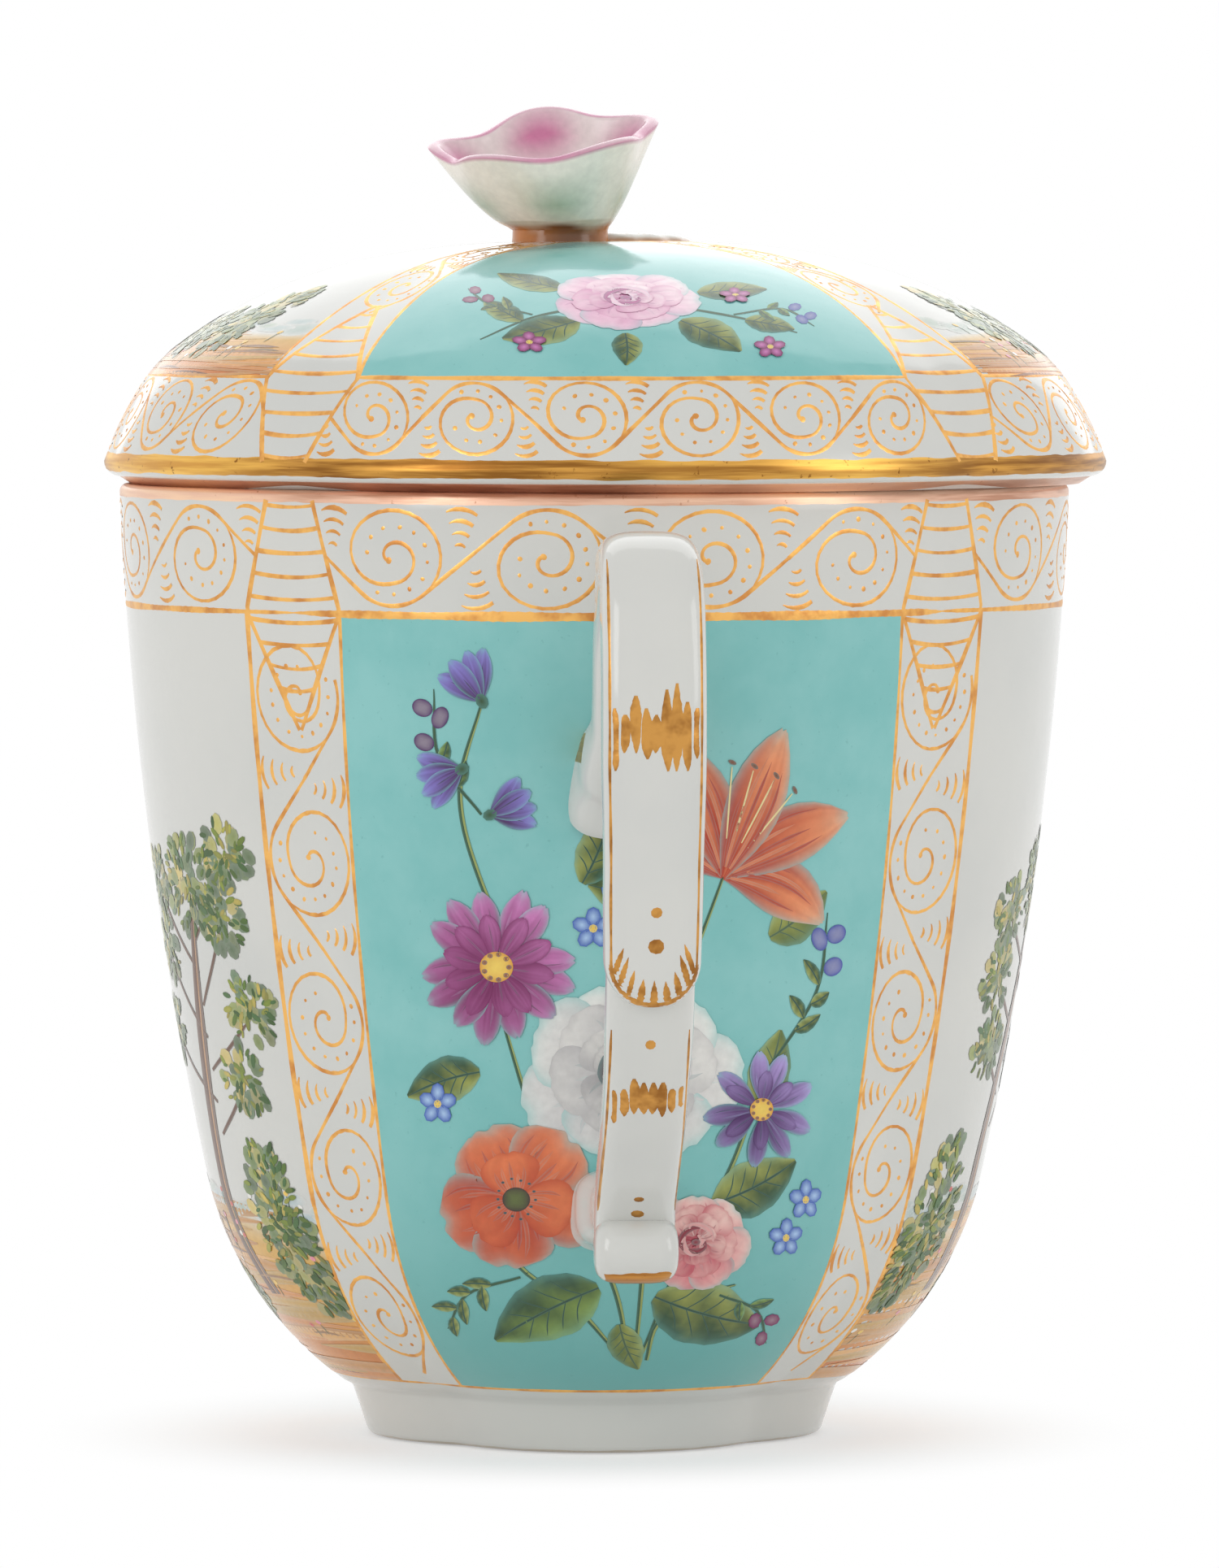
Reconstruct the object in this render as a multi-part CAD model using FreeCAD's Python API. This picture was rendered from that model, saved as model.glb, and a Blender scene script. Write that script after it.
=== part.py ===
import FreeCAD, Part
import os
from math import acos, cos, pi, radians, sin, sqrt, tan

# A porcelain chocolate cup with its cover. The body is pressed as four soft lobes that meet in
# creases, on a low foot ring, with a double scroll handle. The cover is a dome of the same four
# lobes with a locating flange below and an open flower for its knob. Sizes are in millimetres.
# The origin is in the middle of the foot ring, on the table. The handle points along -Y.

# Lobes of the cup and the cover
lobe_offset = 6.2          # each lobe is turned about its own axis, this far from the middle
crease_round = 4.0         # soft hollow of the glaze along each crease

# Body of the cup, radii measured from the middle to the crown of a lobe
cup_height = 86.0
rim_radius = 42.9
belly_radius = 35.2
belly_height = 24.0
side_bow = 1.3             # how far the side stands out from a straight line, belly to rim
waist_radius = 22.9        # where the bowl comes down to the foot ring
foot_height = 5.0
foot_top_radius = 22.1
foot_radius = 20.5
foot_ring_width = 3.4
foot_recess = 3.2
foot_round = 0.6
cup_wall = 2.7
cup_floor = 3.4
floor_radius = 13.0        # flat middle of the inside
lip_round = 0.7

# Cover
lid_edge_radius = 45.3
lid_lip_rise = 0.7         # the outer edge stands this much above the seat on the rim
lid_lip_height = 1.3
skirt_radius = 36.0        # the dome is a chain of arcs, each tangent to the next
edge_slope = 70.0          # slope of the dome at its edge, in degrees from level
shoulder_radius = 13.5
shoulder_slope = 58.0
flank_radius = 44.0
flank_slope = 37.0
crown_slope = 10.0
lid_wall = 3.0
flange_depth = 4.6
flange_thickness = 2.4
flange_clearance = 1.5     # radial play of the flange in the mouth of the cup
flange_round = 0.6
lid_shift = 1.0            # the cover lies this far to +X within that play

# Flower knob on the crown of the cover
flower_shift = 4.1         # its stalk stands this far to -X of the cover's middle
neck_radius = 4.3
neck_height = 1.2
neck_flare = 0.3           # the stalk spreads this much where it meets the dome
flower_height = 8.2        # from the neck up to the mean height of the petals
flower_radius = 10.0
flower_lean = 1.4          # the petals are carried this far to -X of the stalk
side_tilt = 1.2            # the rim is this much higher at +X than in the middle
back_tilt = 1.5            # and this much higher at +Y
flower_wall = 1.2
flower_floor = 1.8
petal_count = 5
petal_spots = 6            # points of the rim's line to a petal
bowl_bulge = 0.72          # power by which the bowl opens; 1 is a plain cone
petal_phase = 18.0         # direction of the first petal's tip, in degrees from +X
petal_reach = 0.8          # a tip stands out this far beyond the mean rim
petal_rise = 0.35
back_petal_rise = 1.0
back_petal_turn = 85.0     # direction of the tall petal, in degrees from +X
back_petal_focus = 8       # power that keeps its rise to one side
floor_share = 0.6          # the floor of the bowl, as a share of the neck's radius

# Leaf in low relief beside the stalk
leaf_length = 13.0
leaf_width = 6.0
leaf_relief = 0.8
leaf_angle = 32.0
leaf_start = 2.6           # from the stalk's middle to the near tip

# Handle, an upper scroll that ends in a tongue and a lower scroll that ends in a curl
handle_reach = 71.6        # from the middle of the cup to the back of the grip
handle_top = 83.2
upper_root_height = 61.5
tongue_height = 42.8
grip_depth = 5.8           # thickness of the strap
grip_width = 8.9
rise_width = 7.4           # where the strap climbs from the wall
tongue_width = 8.2
lower_root_height = 24.5
lower_depth = 5.2
lower_width = 7.0
curl_height = 20.6
curl_radius = 2.9
curl_width = 7.3
curl_out = 49.0            # from the middle of the cup to the middle of the curl
curl_round = 0.55          # rounding of the curl's rims, as a share of its radius
root_flare = 1.7           # how far a root spreads onto the wall, each side
strap_round = 1.9
round_limit = 0.45         # the most that the rounding takes of a thin strap's width or depth

# Bends of the upper scroll. At the root they are measured out from the inside of the wall and up
# from the root, at the shoulder in from the grip and down from the strap's top, and last from the
# tongue's end
root_sink = 1.5
root_drop = 2.0
climb_out = 6.5
climb_rise = 4.0
neck_out = 10.5
neck_rise = 12.5
shoulder_in = 10.5
shoulder_drop = 0.6
corner_in = 3.2
corner_drop = 1.2
grip_start = 8.5
grip_end = 20.0
tongue_rise = 10.0
tongue_lean = 0.9
tongue_in = 2.4

# Bends of the lower scroll, in from the front of the grip and down from the tongue, then out from
# the curl and up from the lower root
scroll_start_rise = 5.0
scroll_in = 2.6
scroll_drop = 2.0
elbow_in = 7.5
elbow_drop = 9.0
heel_out = 4.5
heel_rise = 5.0
turn_in = 1.2
curl_in = 1.6

# Stem between the lower scroll and the wall
stem_sink = 2.0
stem_drop = 1.5
stem_out = 4.0
stem_bend_drop = 1.2
stem_overlap = 2.0

V = FreeCAD.Vector
UP = V(0, 0, 1)
ACROSS = V(1, 0, 0)


def at(radius, height):
    """A point of a lobe's profile, drawn in the upright plane through +X."""
    return V(radius, 0, height)


def line(a, b):
    return Part.LineSegment(a, b).toShape()


def bowed(a, b, bow):
    """An arc from a up to b whose middle stands out from the straight line by bow."""
    way = (b - a).normalize()
    return Part.Arc(a, (a + b) * 0.5 + V(way.z, 0, -way.x) * bow, b).toShape()


def tangent_arc(a, way, b):
    """The arc that leaves a along way and ends in b."""
    chord = b - a
    along = V(way).normalize()
    turn = acos(chord.dot(along) / chord.Length)
    inward = (chord - along * chord.dot(along)).normalize()
    radius = chord.Length / (2 * sin(turn))
    middle = a + along * (radius * sin(turn)) + inward * (radius * (1 - cos(turn)))
    return Part.Arc(a, middle, b).toShape()


def lobed(edges):
    """Four lobes: a profile turned about the axis of each lobe, and joined into one body."""
    chain = Part.Wire(Part.__sortEdges__(edges)).OrderedVertexes
    ends = sorted((chain[0].Point, chain[-1].Point), key=lambda end: end.z)
    corners = [at(lobe_offset, end.z) for end in ends]
    closing = [line(*corners)]
    for end, corner in zip(ends, corners):
        if end.x - corner.x > 1e-6:
            closing.append(line(end, corner))
    face = Part.Face(Part.Wire(Part.__sortEdges__(edges + closing)))
    lobe = face.revolve(V(lobe_offset, 0, 0), UP, 360)
    others = []
    for quarter in (1, 2, 3):
        turned = lobe.copy()
        turned.rotate(V(0, 0, 0), UP, 90 * quarter)
        others.append(turned)
    return lobe.fuse(others).removeSplitter()


def soften_creases(body, low, high, radius):
    """The same body with its creases between two heights rounded like glaze."""
    creases = []
    for edge in body.Edges:
        ends = [vertex.Point for vertex in edge.Vertexes]
        middle = edge.valueAt((edge.FirstParameter + edge.LastParameter) / 2)
        points = ends + [middle]
        diagonal = all(abs(abs(p.x) - abs(p.y)) < 0.01 for p in points)
        between = all(low - 0.01 < p.z < high + 0.01 for p in points)
        if diagonal and between and abs(ends[0].z - ends[-1].z) > 0.1:
            creases.append(edge)
    return body.makeFillet(radius, creases)


def side(inset, top):
    """The side of the cup from the belly up, set in by a wall."""
    return bowed(at(belly_radius - inset, belly_height), at(rim_radius - inset, top), side_bow)


def bowl(inset, top, end):
    """The side with the bowl below it, tangent at the belly, down to a point."""
    wall = side(inset, top)
    down = wall.tangentAt(wall.FirstParameter) * -1
    return [tangent_arc(at(belly_radius - inset, belly_height), down, end), wall]


def cup_outside():
    """The body as if it were solid, from the table to the lip."""
    lean = (foot_top_radius - foot_radius) / foot_height
    ground = at(foot_radius - foot_round, 0)
    toe = at(foot_radius + lean * foot_round, foot_round)
    knee = at(foot_top_radius - lean * foot_round, foot_height - foot_round)
    waist = at(waist_radius, foot_height)
    foot = [tangent_arc(ground, V(1, 0, 0), toe), line(toe, knee), line(knee, waist)]
    shoulder = at(rim_radius, cup_height - lip_round)
    lip = tangent_arc(at(rim_radius - lip_round, cup_height), V(1, 0, 0), shoulder)
    body = lobed(foot + bowl(0, cup_height - lip_round, waist) + [lip])
    return soften_creases(body, foot_height, cup_height - lip_round, crease_round)


def cup_inside():
    """The hollow of the cup, standing out past the lip."""
    floor = at(floor_radius, foot_recess + cup_floor)
    inner = rim_radius - cup_wall
    throat = at(inner, cup_height - lip_round)
    lip = at(inner + lip_round, cup_height)
    past = at(inner + lip_round, cup_height + cup_wall)
    flare = tangent_arc(lip, V(-1, 0, 0), throat)
    return lobed(bowl(cup_wall, cup_height - lip_round, floor) + [flare, line(lip, past)])


def foot_hollow():
    """The recess inside the foot ring, with its rounded roof and edge."""
    inner = foot_radius - foot_ring_width
    mouth = at(inner + foot_round, 0)
    wall_foot = at(inner, foot_round)
    wall_top = at(inner, foot_recess - foot_round)
    roof = at(inner - foot_round, foot_recess)
    below = line(at(inner + foot_round, -1), mouth)
    return lobed([below, tangent_arc(mouth, V(-1, 0, 0), wall_foot), line(wall_foot, wall_top),
                  tangent_arc(wall_top, UP, roof)])


def strap_section(centre, along, width, depth):
    """A rounded oblong, square to the line of a scroll."""
    out = ACROSS.cross(along).normalize()
    corner = min(strap_round, round_limit * width, round_limit * depth)
    half_w, half_d = width / 2, depth / 2
    in_w, in_d, slant = half_w - corner, half_d - corner, corner * (1 - sqrt(0.5))

    def spot(a, b):
        return centre + ACROSS * a + out * b

    edges = []
    for a, b in ((1, 1), (-1, 1), (-1, -1), (1, -1)):
        sides = [spot(a * half_w, b * in_d), spot(a * in_w, b * half_d)]
        if a * b < 0:
            sides.reverse()
        middle = spot(a * (half_w - slant), b * (half_d - slant))
        edges.append(Part.Arc(sides[0], middle, sides[1]).toShape())
        if a * b > 0:
            edges.append(line(spot(a * in_w, b * half_d), spot(-a * in_w, b * half_d)))
        else:
            edges.append(line(spot(a * half_w, b * in_d), spot(a * half_w, -b * in_d)))
    return Part.Wire(edges)


def scroll(points, stations, round_end=0.0):
    """A strap along a smooth line through points given as distance from the axis and height.

    Each station is a share of the line's length with the strap's width and depth there. The last
    round_end of the line closes to a rounded tip."""
    curve = Part.BSplineCurve()
    curve.interpolate([V(0, -out, height) for out, height in points])
    way = curve.toShape()
    straight = way.Length - round_end
    placed = [(share * straight, width, depth) for share, width, depth in stations]
    width, depth = placed[-1][1:]
    for angle in (25, 50, 70, 84) if round_end else ():
        closing = cos(radians(angle))
        along = straight + round_end * sin(radians(angle))
        placed.append((along, width * closing, depth * sqrt(closing)))
    wires = []
    for distance, width, depth in placed:
        where = way.getParameterByLength(distance)
        wires.append(strap_section(way.valueAt(where), way.tangentAt(where), width, depth))
    return Part.makeLoft(wires, True, False)


def upper_scroll():
    """Out of the wall, up to a square shoulder, down the grip and into the tongue."""
    inner_wall = rim_radius - cup_wall
    grip = handle_reach - grip_depth / 2
    top = handle_top - grip_depth / 2
    points = [(inner_wall - root_sink, upper_root_height - root_drop),
              (inner_wall + climb_out, upper_root_height + climb_rise),
              (inner_wall + neck_out, upper_root_height + neck_rise),
              (grip - shoulder_in, top - shoulder_drop), (grip - corner_in, top - corner_drop),
              (grip, top - grip_start), (grip, top - grip_end),
              (grip - tongue_lean, tongue_height + tongue_rise), (grip - tongue_in, tongue_height)]
    stations = [(0.0, rise_width + 2 * root_flare, grip_depth + 2 * root_flare),
                (0.07, rise_width + root_flare, grip_depth + 1.2 * root_flare),
                (0.15, rise_width, grip_depth), (0.28, rise_width + 0.2, grip_depth),
                (0.42, grip_width - 0.4, grip_depth), (0.55, grip_width, grip_depth),
                (0.70, grip_width, grip_depth), (0.85, tongue_width + 0.3, grip_depth),
                (1.0, tongue_width, grip_depth)]
    return scroll(points, stations, tongue_width / 2)


def lower_scroll():
    """From inside the tongue, down and in to the curl."""
    start = handle_reach - grip_depth
    points = [(start, tongue_height + scroll_start_rise),
              (start - scroll_in, tongue_height - scroll_drop),
              (start - elbow_in, tongue_height - elbow_drop),
              (curl_out + heel_out, lower_root_height + heel_rise),
              (curl_out - turn_in, lower_root_height), (curl_out - curl_in, curl_height)]
    stations = [(0.0, lower_width + 0.6, lower_depth - 1.2), (0.2, lower_width + 0.6, lower_depth - 0.4),
                (0.4, lower_width + 0.3, lower_depth), (0.6, lower_width, lower_depth),
                (0.8, lower_width, lower_depth), (1.0, lower_width, lower_depth)]
    return scroll(points, stations)


def curl():
    """The rolled end of the lower scroll, a short roll across the strap."""
    middle = V(-curl_width / 2, -curl_out, curl_height)
    roll = Part.makeCylinder(curl_radius, curl_width, middle, ACROSS)
    rims = [edge for edge in roll.Edges if edge.Closed]
    return roll.makeFillet(curl_round * curl_radius, rims)


def lower_root():
    """The short stem that ties the lower scroll to the wall."""
    points = [(belly_radius - cup_wall - stem_sink, lower_root_height - stem_drop),
              (belly_radius + stem_out, lower_root_height - stem_bend_drop),
              (curl_out - stem_overlap, lower_root_height)]
    stations = [(0.0, lower_width + 2.4 * root_flare, lower_depth + 2.4 * root_flare),
                (0.35, lower_width + root_flare, lower_depth + root_flare),
                (0.6, lower_width - 0.5, lower_depth), (1.0, lower_width - 0.5, lower_depth)]
    return scroll(points, stations)


def cup():
    body = cup_outside()
    body = body.fuse([upper_scroll(), lower_scroll(), curl(), lower_root()])
    body = body.cut([cup_inside(), foot_hollow()])
    return body.removeSplitter()


def dome(inset=0.0, rise=0.0):
    """The dome's chain of arcs from its edge to the axis of the lobe, set in by a wall."""
    start = radians(edge_slope)
    here = lid_edge() + V(-sin(start), 0, -cos(start)) * inset + UP * rise
    slopes = (edge_slope, shoulder_slope, flank_slope, crown_slope)
    edges = []
    for radius, first, last in zip((skirt_radius, shoulder_radius, flank_radius), slopes, slopes[1:]):
        turns = [radians(slope) for slope in (first, (first + last) / 2, last)]
        spots = [here + V(sin(turn) - sin(turns[0]), 0, cos(turn) - cos(turns[0])) * (radius - inset)
                 for turn in turns]
        edges.append(Part.Arc(*spots).toShape())
        here = spots[-1]
    slope = radians(crown_slope)
    top = here.z + (here.x - lobe_offset) * tan(slope / 2)
    edges.append(tangent_arc(here, V(-cos(slope), 0, sin(slope)), at(lobe_offset, top)))
    return edges


def lid_edge():
    """Where the dome starts, above the rounded lip of the cover."""
    return at(lid_edge_radius, cup_height + lid_lip_rise + lid_lip_height)


def crown_height():
    """Height of the dome over the axis of a lobe."""
    crown = dome()[-1]
    return crown.valueAt(crown.LastParameter).z


def lid_outside():
    """The cover as if it were solid: flange, seat on the rim, lip and dome."""
    outer = rim_radius - cup_wall - flange_clearance
    base = cup_height - flange_depth
    toe, side_low = at(outer - flange_round, base), at(outer, base + flange_round)
    corner, seat = at(outer, cup_height), at(rim_radius, cup_height)
    lip = at(lid_edge_radius - lid_lip_height, cup_height + lid_lip_rise)
    below = [tangent_arc(toe, V(1, 0, 0), side_low), line(side_low, corner), line(corner, seat),
             line(seat, lip), tangent_arc(lip, V(1, 0, 0), lid_edge())]
    return lobed(below + dome())


def lid_inside():
    """The hollow under the dome and inside the flange."""
    inner = rim_radius - cup_wall - flange_clearance - flange_thickness
    base = cup_height - flange_depth
    mouth, side_low = at(inner + flange_round, base), at(inner, base + flange_round)
    throat = at(inner, cup_height)
    vault = dome(inset=lid_wall)[1:]
    spring = vault[0].valueAt(vault[0].FirstParameter)
    walls = [line(at(inner + flange_round, base - 1), mouth), tangent_arc(mouth, V(-1, 0, 0), side_low),
             line(side_low, throat), line(throat, spring)]
    return lobed(walls + vault)


def petal_ring(share, inset):
    """A closed line round the flower, share of the way from its neck to the rim."""
    spots = petal_spots * petal_count
    points = []
    for spot in range(spots):
        around = 2 * pi * spot / spots
        petal = cos(petal_count * (around - radians(petal_phase)))
        back = ((1 + cos(around - radians(back_petal_turn))) / 2) ** back_petal_focus
        rim_rise = (flower_height + side_tilt * cos(around) + back_tilt * sin(around)
                    + petal_rise * petal + back_petal_rise * back)
        reach = neck_radius + (flower_radius - neck_radius) * share ** bowl_bulge - inset
        reach += petal_reach * petal * share ** 2
        lean = -flower_lean * share ** 0.5
        points.append(V(lean + reach * cos(around), reach * sin(around), neck_height + rim_rise * share))
    ring = Part.BSplineCurve()
    ring.interpolate(points, PeriodicFlag=True)
    return Part.Wire(ring.toShape())


def level_ring(radius, height, centre=0.0):
    """A level circle with the same run of points as the petal rings."""
    spots = petal_spots * petal_count
    turns = [2 * pi * spot / spots for spot in range(spots)]
    ring = Part.BSplineCurve()
    ring.interpolate([V(centre + radius * cos(a), radius * sin(a), height) for a in turns],
                     PeriodicFlag=True)
    return Part.Wire(ring.toShape())


def flower():
    """The open flower on its stalk, its foot sunk in the crown of the cover."""
    foot = level_ring(neck_radius + neck_flare, -lid_wall / 2)
    outside = [foot, level_ring(neck_radius + neck_flare / 2, neck_height / 3)]
    outside += [petal_ring(share, 0) for share in (0.0, 0.2, 0.4, 0.6, 0.8, 1.0)]
    lean = flower_lean * (flower_floor / flower_height) ** 0.5
    floor = level_ring(neck_radius * floor_share, neck_height + flower_floor, -lean)
    inside = [floor] + [petal_ring(share, flower_wall) for share in (0.45, 0.65, 0.82, 1.0)]
    faces = [Part.Face(foot), Part.Face(floor)]
    for rings in (outside, inside):
        faces += Part.makeLoft(rings, False, False).Faces
    faces += Part.makeRuledSurface(outside[-1].Edges[0], inside[-1].Edges[0]).Faces
    shell = Part.makeShell(faces)
    shell.sewShape()
    bloom = Part.makeSolid(shell)
    bloom.translate(V(-flower_shift, 0, crown_height()))
    return bloom


def leaf():
    """A pointed leaf raised on the crown, running back from the stalk."""
    bow = leaf_width / 2
    tips = [V(leaf_start, 0, 0), V(leaf_start + leaf_length, 0, 0)]
    middle = (tips[0] + tips[1]) * 0.5
    sides = [Part.Arc(tips[0], middle + V(0, way * bow, 0), tips[1]).toShape() for way in (1, -1)]
    blade = Part.Face(Part.Wire(sides)).extrude(UP * 2 * cup_height)
    blade.rotate(V(0, 0, 0), UP, leaf_angle)
    blade.translate(V(-flower_shift, 0, 0))
    return blade.common(lobed(dome(rise=leaf_relief)))


def lid():
    cover = lid_outside().fuse([leaf(), flower()]).cut(lid_inside()).removeSplitter()
    cover.translate(V(lid_shift, 0, 0))
    return cover


if __name__ == "__main__":
    os.makedirs("parts", exist_ok=True)
    cup().exportStep("parts/cup.step")
    lid().exportStep("parts/lid.step")
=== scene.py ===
import bisect
import cmath
import itertools
import random
from math import acos, asin, atan2, copysign, cos, degrees, exp, hypot, pi, radians, sin, sqrt

import bmesh
import bpy
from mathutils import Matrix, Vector


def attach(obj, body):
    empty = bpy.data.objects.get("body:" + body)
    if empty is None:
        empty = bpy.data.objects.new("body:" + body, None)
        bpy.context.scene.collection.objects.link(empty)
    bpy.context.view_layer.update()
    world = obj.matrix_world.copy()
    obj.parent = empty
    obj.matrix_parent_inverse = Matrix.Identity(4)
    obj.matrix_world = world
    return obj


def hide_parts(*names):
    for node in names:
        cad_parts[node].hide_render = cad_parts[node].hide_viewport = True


# The CAD parts of the covered cup, as they were packed. Everything below is fitted round them.
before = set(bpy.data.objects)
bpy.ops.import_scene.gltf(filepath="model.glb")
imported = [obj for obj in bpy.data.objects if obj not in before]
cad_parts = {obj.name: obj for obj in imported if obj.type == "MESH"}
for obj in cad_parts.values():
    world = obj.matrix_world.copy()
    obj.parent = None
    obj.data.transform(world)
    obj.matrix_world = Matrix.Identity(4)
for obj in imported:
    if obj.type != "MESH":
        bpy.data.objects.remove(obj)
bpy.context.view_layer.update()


# The body of the cup with its foot ring. Hard white porcelain, pressed in a mould of four lobes, so
# that both its faces meet in soft creases on the diagonals. Glazed, with turquoise enamel on the front
# and back lobes and a gold rim.
MM = 0.001
LOBE = 6.2     # from the middle of the cup to the middle of each lobe's circle
LEAST = 13.0   # the radius from which the lobes are full; nearer the middle they only shrink
CREASE = 1.3   # how far to each side the glaze rounds a crease
SHARP = 0.9    # edges that bend more than this, in radians, are shown sharp


def arc(a, way, b, steps):
    """Points after a on the arc that leaves a along way and ends in b. A point is radius + height j."""
    turn, start = cmath.phase((b - a) / way), cmath.phase(way)
    return [a + cmath.rect(abs(b - a) * sin(turn * k / steps) / sin(turn), start + turn * k / steps)
            for k in range(1, steps + 1)]


def bowed(a, b, bow, steps):
    """Points after a on the arc to b that stands out from the straight line by bow."""
    return arc(a, (b - a) * cmath.rect(1, -2 * atan2(2 * bow, abs(b - a))), b, steps)


def pressed(turn, radius):
    """How far the wall stands from the middle in one direction, once the lobes are pressed into it."""
    full = max(radius, LEAST)
    off = abs((turn + pi / 4) % (pi / 2) - pi / 4)
    off = pi / 4 - hypot(pi / 4 - off, CREASE / full)
    return (LOBE * cos(off) + sqrt((full - LOBE) ** 2 - (LOBE * sin(off)) ** 2)) * radius / full


class Shell:
    """A lobed wall, known by its outline. A place on it is a turn about the middle and a run along it."""

    def __init__(self, outline, middle=0.0):
        self.outline, self.middle = outline, middle
        self.run = list(itertools.accumulate([0.0] + [abs(b - a) for a, b in zip(outline, outline[1:])]))

    def at(self, run):
        """The place on the outline after a run."""
        k = min(max(bisect.bisect(self.run, run), 1), len(self.run) - 1)
        share = (run - self.run[k - 1]) / (self.run[k] - self.run[k - 1])
        return self.outline[k - 1] + (self.outline[k] - self.outline[k - 1]) * share

    def level(self, height):
        """The run at which the wall comes up to a height."""
        k = next(k for k, spot in enumerate(self.outline) if spot.imag >= height)
        a, b = self.outline[k - 1:k + 1]
        return self.run[k - 1] + abs(b - a) * (height - a.imag) / (b.imag - a.imag)

    def point(self, turn, run):
        """The place on the wall, in millimetres."""
        spot = self.at(run)
        reach = pressed(turn, spot.real)
        return Vector((reach * cos(turn) + self.middle, reach * sin(turn), spot.imag))

    def lifted(self, turn, run, lift):
        """A point lift off the wall, in metres. Two short steps on the wall tell which way is off it."""
        here = self.point(turn, run)
        across, up = self.point(turn + 0.004, run) - here, self.point(turn, run + 0.2) - here
        return (here + across.cross(up).normalized() * lift) * MM


def thrown(outline, middle=0.0, steps=320):
    """A mesh turned from an outline and pressed into four lobes."""
    bm = bmesh.new()
    spots = [bm.verts.new((spot.real, 0, spot.imag)) for spot in outline]
    edges = [bm.edges.new(pair) for pair in zip(spots, spots[1:])]
    bmesh.ops.spin(bm, geom=spots + edges, cent=(0, 0, 0), axis=(0, 0, 1), angle=2 * pi,
                   steps=steps, use_merge=True)
    bmesh.ops.remove_doubles(bm, verts=bm.verts, dist=1e-4)
    for v in bm.verts:
        radius, turn = hypot(v.co.x, v.co.y), atan2(v.co.y, v.co.x)
        reach = pressed(turn, radius)
        v.co = Vector((reach * cos(turn) + middle, reach * sin(turn), v.co.z)) * MM
    return bm


def piece(name, bm, material):
    """A finished mesh that rides with the cup."""
    bmesh.ops.recalc_face_normals(bm, faces=bm.faces)
    for edge in bm.edges:
        edge.smooth = edge.calc_face_angle(0) < SHARP
    for face in bm.faces:
        face.smooth = True
    mesh = bpy.data.meshes.new(name)
    bm.to_mesh(mesh)
    bm.free()
    mesh.materials.append(material)
    obj = bpy.data.objects.new(name, mesh)
    bpy.context.collection.objects.link(obj)
    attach(obj, "root")
    return obj


class Wire:
    """An output in a material's nodes that takes part in ordinary arithmetic."""

    def __init__(self, tree, out):
        self.tree, self.out = tree, out

    def node(self, kind, out=0, feeds=(), **settings):
        """Any other node, fed by name or number; one of its outputs comes back."""
        made = self.tree.nodes.new("ShaderNode" + kind)
        for key, value in settings.items():
            setattr(made, key, value)
        for key, value in dict(feeds).items():
            if isinstance(value, Wire):
                self.tree.links.new(value.out, made.inputs[key])
            else:
                made.inputs[key].default_value = value
        return Wire(self.tree, made.outputs[out])

    def maths(self, operation, *others):
        """A sum on this and what else it needs."""
        return self.node("Math", 0, enumerate((self,) + others), operation=operation)

    def __add__(self, other):
        return self.maths("ADD", other)

    __radd__ = __add__

    def __sub__(self, other):
        return self.maths("SUBTRACT", other)

    def __rsub__(self, other):
        return self.node("Math", 0, {0: other, 1: self}, operation="SUBTRACT")

    def __mul__(self, other):
        return self.maths("MULTIPLY", other)

    def __gt__(self, other):
        return self.maths("GREATER_THAN", other)

    def __lt__(self, other):
        return self.maths("LESS_THAN", other)

    def __abs__(self):
        return self.maths("ABSOLUTE")

    def noise(self, scale, detail=2.0, roughness=0.5):
        return self.node("TexNoise", 0, {"Vector": self, "Scale": scale, "Detail": detail,
                                         "Roughness": roughness})

    def ease(self, low, high):
        """0 below low, 1 above high, and smooth between."""
        return self.node("MapRange", 0, {"Value": self, "From Min": low, "From Max": high},
                         interpolation_type="SMOOTHSTEP")

    def blend(self, a, b):
        """Colour a where this is 0 and b where it is 1."""
        return self.node("Mix", 2, {0: self, 6: a, 7: b}, data_type="RGBA")


def tone(red, green, blue):
    """A colour as screens state it, 0 to 255, made linear."""
    return tuple(((c / 255 + 0.055) / 1.055) ** 2.4 for c in (red, green, blue)) + (1.0,)


def finish_of(name, **constants):
    """A new material with its shader's constants set, and its object coordinates."""
    made = bpy.data.materials.new(name)
    made.use_nodes = True
    shader = made.node_tree.nodes["Principled BSDF"]
    for key, value in constants.items():
        shader.inputs[key.replace("_", " ")].default_value = value
    place = made.node_tree.nodes.new("ShaderNodeTexCoord").outputs["Object"]
    return made, shader, Wire(made.node_tree, place)


def link(wire, shader, name):
    """Feeds one of a shader's sockets."""
    wire.tree.links.new(wire.out, shader.inputs[name])


def bumped(shader, height, distance):
    bump = height.node("Bump", 0, {"Height": height, "Distance": distance, "Strength": 1.0})
    link(bump, shader, "Normal")


def axes(place, middle=0.0):
    """Object coordinates in millimetres: to +X, to +Y and up."""
    parts = place.node("SeparateXYZ", 0, {0: place}).out.node.outputs
    x, y, z = (Wire(place.tree, parts[k]) * 1000 for k in range(3))
    return x - middle, y, z


def out_from(x, y):
    """The distance from the middle line."""
    return (x * x + y * y).maths("SQRT")


def past_crease(x, y):
    """How far over the plane of the nearest crease, towards the front or the back lobe."""
    return (abs(y) - abs(x)) * sqrt(0.5)


def band_half(height, fall):
    """Half the width of the white band over a crease. fall is e to the power -height/8."""
    return height * 0.0185 + 4.1 - fall * 1.3


WHITE = tone(212, 212, 207)
RIM_LOW, BORDER_LOW, GROUND = 84.9, 75.2, 5.9   # heights where the rim's gold, border and panels end


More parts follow.
